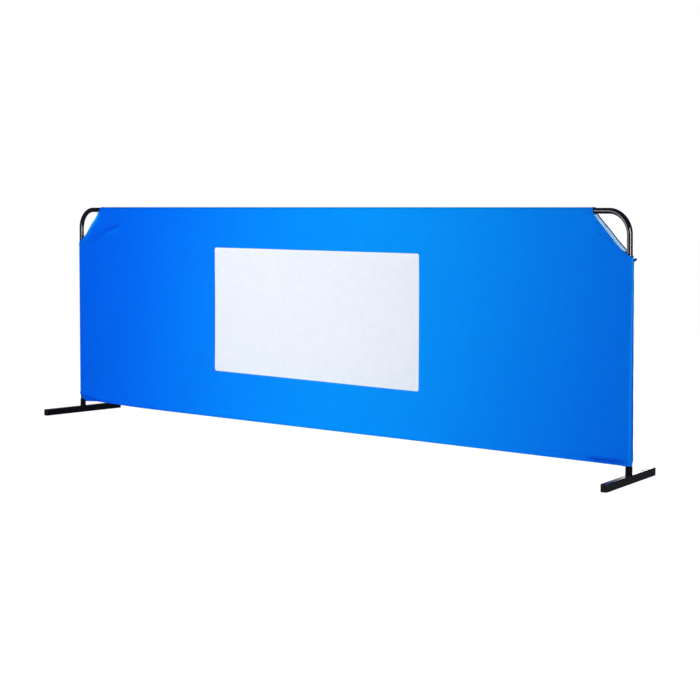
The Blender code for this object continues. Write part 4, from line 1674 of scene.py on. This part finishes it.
@dataclass
class TubeFrame:
    """The two bent half frames with their bottom rails and welds, and the hardware inside them."""

    workshop: Workshop
    layout: Layout
    wall: float = 0.0012
    bend_radius: float = 0.065
    sides: int = 48
    bend_steps: int = 28
    cope_gap: float = 0.0003
    rail_stations: Place = (0.2, 0.05)
    weld_r: float = 0.0009
    weld_pitch: float = 0.0013
    weld_stand: float = 1 / 3
    weld_points: int = 73

    # Hardware that each side has.
    PAIRED = ("ferrule_screw_bottom", "ferrule_screw_top", "upright_plug", "pivot_screw")

    def half_frame(self, side: Side) -> Item:
        """Upright, corner bend and half the top rail, as one smooth tube.

        Args:
            side: Which side.

        Returns:
            The piece.
        """
        layout, workshop = self.layout, self.workshop
        inner = self.cope_gap / 2 - layout.half_spacing
        path = layout.by_post(side, np.array([0.0, 0.0, inner]), 0.0,
                              np.array([layout.upright_end_z, layout.top_z, layout.top_z]))
        mesh = workshop.tubes.run([path], f"half_frame_{side.word}", radius=layout.tube_r, sides=self.sides,
                                  bend_radius=self.bend_radius, bend_steps=self.bend_steps,
                                  material=workshop.material(FRAME_GLOSS))
        item = workshop.piece(mesh, FRAME_GLOSS)
        workshop.thicken(item, self.wall)
        return workshop.hold(item, Body.FRAME, Slot.FRAME_PAINT, f"frame_tube_{side.word}")

    def bottom_rail(self, side: Side) -> Item:
        """Half the bottom rail, its end coped round the upright.

        Args:
            side: Which side.

        Returns:
            The piece.
        """
        layout = self.layout
        turns = np.append(np.arange(self.sides), 0) * 2 * math.pi / self.sides
        y, z = layout.tube_r * np.cos(turns), layout.tube_r * np.sin(turns)
        saddle = -np.sqrt((layout.tube_r + self.cope_gap) ** 2 - y ** 2)
        near_middle, near_post = self.rail_stations
        stations = (self.cope_gap / 2 - layout.half_spacing, near_middle - layout.half_spacing,
                    -near_post, saddle)
        points = np.stack([layout.by_post(side, out, y, layout.rail_z + z) for out in stations])
        item = self.workshop.strip(f"bottom_tube_{side.word}", points, (points[..., 0], points[..., 1]),
                                   self.wall, side is Side.LEFT, FRAME_GLOSS)
        return self.workshop.hold(item, Body.FRAME, Slot.FRAME_PAINT, f"bottom_rail_{side.word}")

    def rail_weld(self, side: Side) -> Item:
        """The rippled weld round the joint of rail and upright.

        Args:
            side: Which side.

        Returns:
            The piece.
        """
        layout = self.layout
        turns = np.linspace(0.0, 2 * math.pi, self.weld_points)
        y, z = layout.tube_r * np.cos(turns), layout.tube_r * np.sin(turns)
        path = layout.by_post(side, -np.abs(z) - self.weld_r * self.weld_stand, y, layout.rail_z + z)
        item = self.workshop.weld(f"rail_weld_{side.word}", path, FRAME_GLOSS, self.weld_r, self.weld_pitch)
        return self.workshop.hold(item, Body.FRAME, Slot.FRAME_PAINT)

    def build(self) -> None:
        """Make the tubes and welds, and finish the hardware."""
        for side in Side:
            self.half_frame(side)
            self.bottom_rail(side)
            self.rail_weld(side)
        paired = [f"{name}_{side.word}" for name in self.PAIRED for side in Side]
        for node in ("bottom_ferrule", "top_ferrule", *paired):
            self.workshop.dress(node, ZINC_PLATED, Slot.ZINC)


@dataclass
class SwivelFoot:
    """One foot: a rectangular bar with moulded caps, its socket for the upright, and the pivot's washers."""

    workshop: Workshop
    layout: Layout
    side: Side
    weld_r: float = 0.0010
    weld_pitch: float = 0.0015
    weld_stand: float = 0.25
    weld_points: int = 61
    cap_edge: float = 0.00035

    @property
    def body(self) -> Body:
        """The body that the foot is."""
        return Body[f"{self.side.name}_FOOT"]

    def copied(self, node: str, name: str, finish: Finish, slot: Slot, edge: float = 0.0) -> Item:
        """Make a smooth piece from one of the foot's CAD nodes."""
        return self.workshop.hold(self.workshop.refined(node, name, finish, edge), self.body, slot, node)

    def build(self) -> None:
        """Make the foot's pieces."""
        word = self.side.word
        self.copied(f"foot_bar_{word}", f"foot_tube_{word}", FOOT_SATIN, Slot.FOOT_PAINT)
        self.copied(f"foot_socket_{word}", f"upright_socket_{word}", FOOT_SATIN, Slot.FOOT_PAINT)
        for end in Face:
            self.copied(f"foot_cap_{word}_{end.word}", f"end_cap_{word}_{end.word}", CAP_MOULDED,
                        Slot.CAP_PLASTIC, self.cap_edge)
        self.workshop.dress(f"thrust_washer_{word}", NYLON_NATURAL, Slot.NYLON)
        self.workshop.dress(f"screw_washer_{word}", ZINC_PLATED, Slot.ZINC)
        self.socket_weld()

    def socket_weld(self) -> Item:
        """The rippled weld round the socket's foot.

        Returns:
            The piece.
        """
        layout = self.layout
        turns = np.linspace(0.0, 2 * math.pi, self.weld_points)
        radius = layout.socket_r + self.weld_r * self.weld_stand
        path = layout.by_post(self.side, self.side.value * radius * np.cos(turns), radius * np.sin(turns),
                              layout.foot_top_z + self.weld_r / 2)
        item = self.workshop.weld(f"socket_weld_{self.side.word}", path, FOOT_SATIN, self.weld_r,
                                  self.weld_pitch)
        return self.workshop.hold(item, self.body, Slot.FOOT_PAINT)


@dataclass(frozen=True)
class Lamp:
    """A rectangular softbox that looks at the panel's middle.

    Attributes:
        name: The lamp's name.
        azimuth: Its direction from the panel's front, positive towards the right end, in degrees.
        height: Its direction over level, in degrees.
        distance: How far away it is.
        size: Its width and height.
        level: Brightness of a white surface that faces it at the panel's middle.
        card: Whether it is a card that only glossy surfaces show, and not a lamp that lights matt ones.
    """

    name: str
    azimuth: float
    height: float
    distance: float
    size: Place
    level: float
    card: bool = False

    def hang(self, aim: Vector) -> None:
        """Put the lamp in the scene, looking at a point.

        Args:
            aim: The point.
        """
        data = bpy.data.lights.new(self.name, "AREA")
        data.shape = "RECTANGLE"
        data.size, data.size_y = self.size
        data.energy = self.level * (math.pi * self.distance) ** 2
        item = bpy.data.objects.new(self.name, data)
        bpy.context.scene.collection.objects.link(item)
        turn, over = math.radians(self.azimuth), math.radians(self.height)
        away = Vector((math.sin(turn) * math.cos(over), -math.cos(turn) * math.cos(over), math.sin(over)))
        item.location = aim + away * self.distance
        item.rotation_euler = away.to_track_quat("Z", "Y").to_euler()
        item.visible_camera = False
        item.visible_glossy, item.visible_diffuse = self.card, not self.card


@dataclass(frozen=True)
class Studio:
    """A white studio: a pale floor, a white surround and soft lamps."""

    layout: Layout
    floor_radius: float = 30.0
    floor_sides: int = 96
    sweep_towards: Colour = (-0.68, 0.72, 0.12)
    sweep_edge: float = 0.80
    sweep_full: float = 0.95
    surround: float = 0.35
    shade: float = 0.06
    floor_gloss: float = 0.06
    ambient: float = 0.20
    floor_glow: float = 0.97
    floor_catch: float = 0.12
    floor_paint: float = 0.80
    aim_z: float = 0.383

    LAMPS = (
        Lamp("key_softbox", -28.0, 2.0, 2.6, (0.7, 0.6), 0.13),
        Lamp("front_softbox", -3.0, 3.0, 2.2, (1.0, 0.8), 0.47),
        Lamp("side_fill", 88.0, 10.0, 3.0, (0.20, 1.5), 0.20),
        Lamp("top_softbox", -16.0, 65.0, 2.2, (1.6, 0.8), 0.31),
        Lamp("rear_softbox", 168.0, 24.0, 3.6, (1.8, 1.4), 0.84),
        Lamp("tall_card", -12.0, 3.0, 2.2, (0.8, 1.8), 0.50, card=True),
        Lamp("near_card", -9.5, 12.0, 1.2, (0.35, 0.7), 0.95, card=True),
        Lamp("side_card", 70.0, 8.0, 2.95, (0.5, 1.2), 0.70, card=True),
        Lamp("low_card", 184.2, 3.3, 2.88, (1.0, 0.26), 0.07, card=True),
    )

    def show(self, tree: NodeTree, lit: Socket, shown: bpy.types.Node, glow: Socket, gloss: Any) -> Socket:
        """Mix what lights the object with what is shown: white to the camera and through glass.

        Args:
            tree: The nodes of the floor or world.
            lit: The shader that lights the object.
            shown: The shader that is shown.
            glow: The shown shader's strength.
            gloss: The strength for glossy rays, a socket or a plain number.

        Returns:
            The mixed shader.
        """
        path = tree.add("ShaderNodeLightPath").outputs
        straight = tree.math("MAXIMUM", path["Is Camera Ray"], path["Is Transmission Ray"])
        tree.feed(glow, tree.math("MAXIMUM", straight, gloss))
        share = tree.math("MAXIMUM", straight, path["Is Glossy Ray"])
        return tree.step("ShaderNodeMixShader", {0: share, 1: lit, 2: shown.outputs[0]})

    def world(self) -> None:
        """White for the camera and behind the object in its gloss, darker in front of it, soft elsewhere."""
        world = bpy.data.worlds.new("white_studio")
        bpy.context.scene.world = world
        world.use_nodes = True
        tree = NodeTree(world.node_tree)
        tree.tree.nodes.clear()
        ahead = tree.add("ShaderNodeVectorMath", {
            0: tree.add("ShaderNodeTexCoord").outputs["Generated"],
            1: Vector(self.sweep_towards).normalized()}, operation="DOT_PRODUCT").outputs["Value"]
        behind = tree.ramp(ahead, self.sweep_edge, self.sweep_full, self.shade, self.surround)
        white = (1.0, 1.0, 1.0, 1.0)
        lit = tree.step("ShaderNodeBackground", {"Color": white, "Strength": self.ambient})
        shown = tree.add("ShaderNodeBackground", {"Color": white})
        mix = self.show(tree, lit, shown, shown.inputs["Strength"], behind)
        tree.add("ShaderNodeOutputWorld", {"Surface": mix})

    def floor(self) -> None:
        """A wide pale floor that is white to the camera and keeps a faint shadow."""
        bm = bmesh.new()
        bmesh.ops.create_circle(bm, cap_ends=True, segments=self.floor_sides, radius=self.floor_radius)
        mesh = bpy.data.meshes.new("studio_floor")
        bm.to_mesh(mesh)
        bm.free()
        material = bpy.data.materials.new("floor_white")
        material.use_nodes = True
        tree = NodeTree(material.node_tree)
        tree.tree.nodes.clear()
        paint, catch = (tree.step("ShaderNodeBsdfDiffuse", {"Color": (level, level, level, 1.0)})
                        for level in (self.floor_paint, self.floor_catch))
        level = tree.add("ShaderNodeMath", {1: self.floor_glow}, operation="MULTIPLY")
        glow = tree.step("ShaderNodeEmission", {"Strength": level.outputs[0]})
        shown = tree.add("ShaderNodeAddShader", {0: glow, 1: catch})
        mix = self.show(tree, paint, shown, level.inputs[0], self.floor_gloss)
        tree.add("ShaderNodeOutputMaterial", {"Surface": mix})
        mesh.materials.append(material)
        item = bpy.data.objects.new("studio_floor", mesh)
        bpy.context.scene.collection.objects.link(item)
        item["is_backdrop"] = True

    def build(self) -> None:
        """Set up the whole studio."""
        self.world()
        self.floor()
        for lamp in self.LAMPS:
            lamp.hang(Vector((self.layout.centre_x, 0.0, self.aim_z)))
        LOG.info("studio with %d lamps", len(self.LAMPS))


@dataclass(frozen=True)
class View:
    """The photograph's camera, found from the barrier's known edges.

    Attributes:
        layout: The frame's layout.
        focal: Focal length in pixels of the photograph.
        picture: The photograph's width in pixels.
        middle: Where the camera's axis meets the photograph.
        place: The camera's place from the panel's middle.
        yaw: Its turn to the left from facing the panel.
        pitch: How far it looks down.
        roll: How far it leans.
    """

    layout: Layout
    focal: float = 1665.0
    picture: float = 700.0
    middle: Place = (350.97, 269.0)
    place: tuple[float, float, float] = (3.592, -3.739, 0.7455)
    yaw: float = math.radians(42.60)
    pitch: float = math.radians(2.25)
    roll: float = math.radians(-0.107)

    # Width of the sensor in millimetres.
    SENSOR = 36.0

    def build(self) -> None:
        """Set up the camera."""
        data = bpy.data.cameras.new("photo_view")
        data.sensor_width = self.SENSOR
        data.lens = self.SENSOR * self.focal / self.picture
        data.shift_x = (self.picture / 2 - self.middle[0]) / self.picture
        data.shift_y = (self.middle[1] - self.picture / 2) / self.picture
        ahead = Vector((-math.sin(self.yaw) * math.cos(self.pitch), math.cos(self.yaw) * math.cos(self.pitch),
                        -math.sin(self.pitch)))
        level = Vector((math.cos(self.yaw), math.sin(self.yaw), 0.0))
        right = level * math.cos(self.roll) + level.cross(ahead) * math.sin(self.roll)
        turn = Matrix((right, right.cross(ahead), -ahead)).transposed()
        where = Vector(self.place) + Vector((self.layout.centre_x, 0.0, 0.0))
        item = bpy.data.objects.new("photo_view", data)
        item.matrix_world = Matrix.Translation(where) @ turn.to_4x4()
        bpy.context.scene.collection.objects.link(item)
        bpy.context.scene.camera = item
        LOG.info("camera %s at %.1f mm", item.name, data.lens)


def main() -> None:
    """Dress the barrier and set up the studio."""
    cad_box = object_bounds()
    bpy.context.scene.view_settings.view_transform = "Standard"
    layout = Layout.read()
    View(layout).build()
    Studio(layout).build()
    workshop = Workshop()
    TubeFrame(workshop, layout).build()
    for side in Side:
        SwivelFoot(workshop, layout, side).build()
    Cover(workshop, layout).build()
    boxes = {"cad": cad_box, "visual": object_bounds()}
    plain = {name: [list(corner) for corner in box] for name, box in boxes.items()}


if __name__ == "__main__":
    logging.basicConfig(level=logging.INFO, format="%(name)s: %(message)s")
    main()
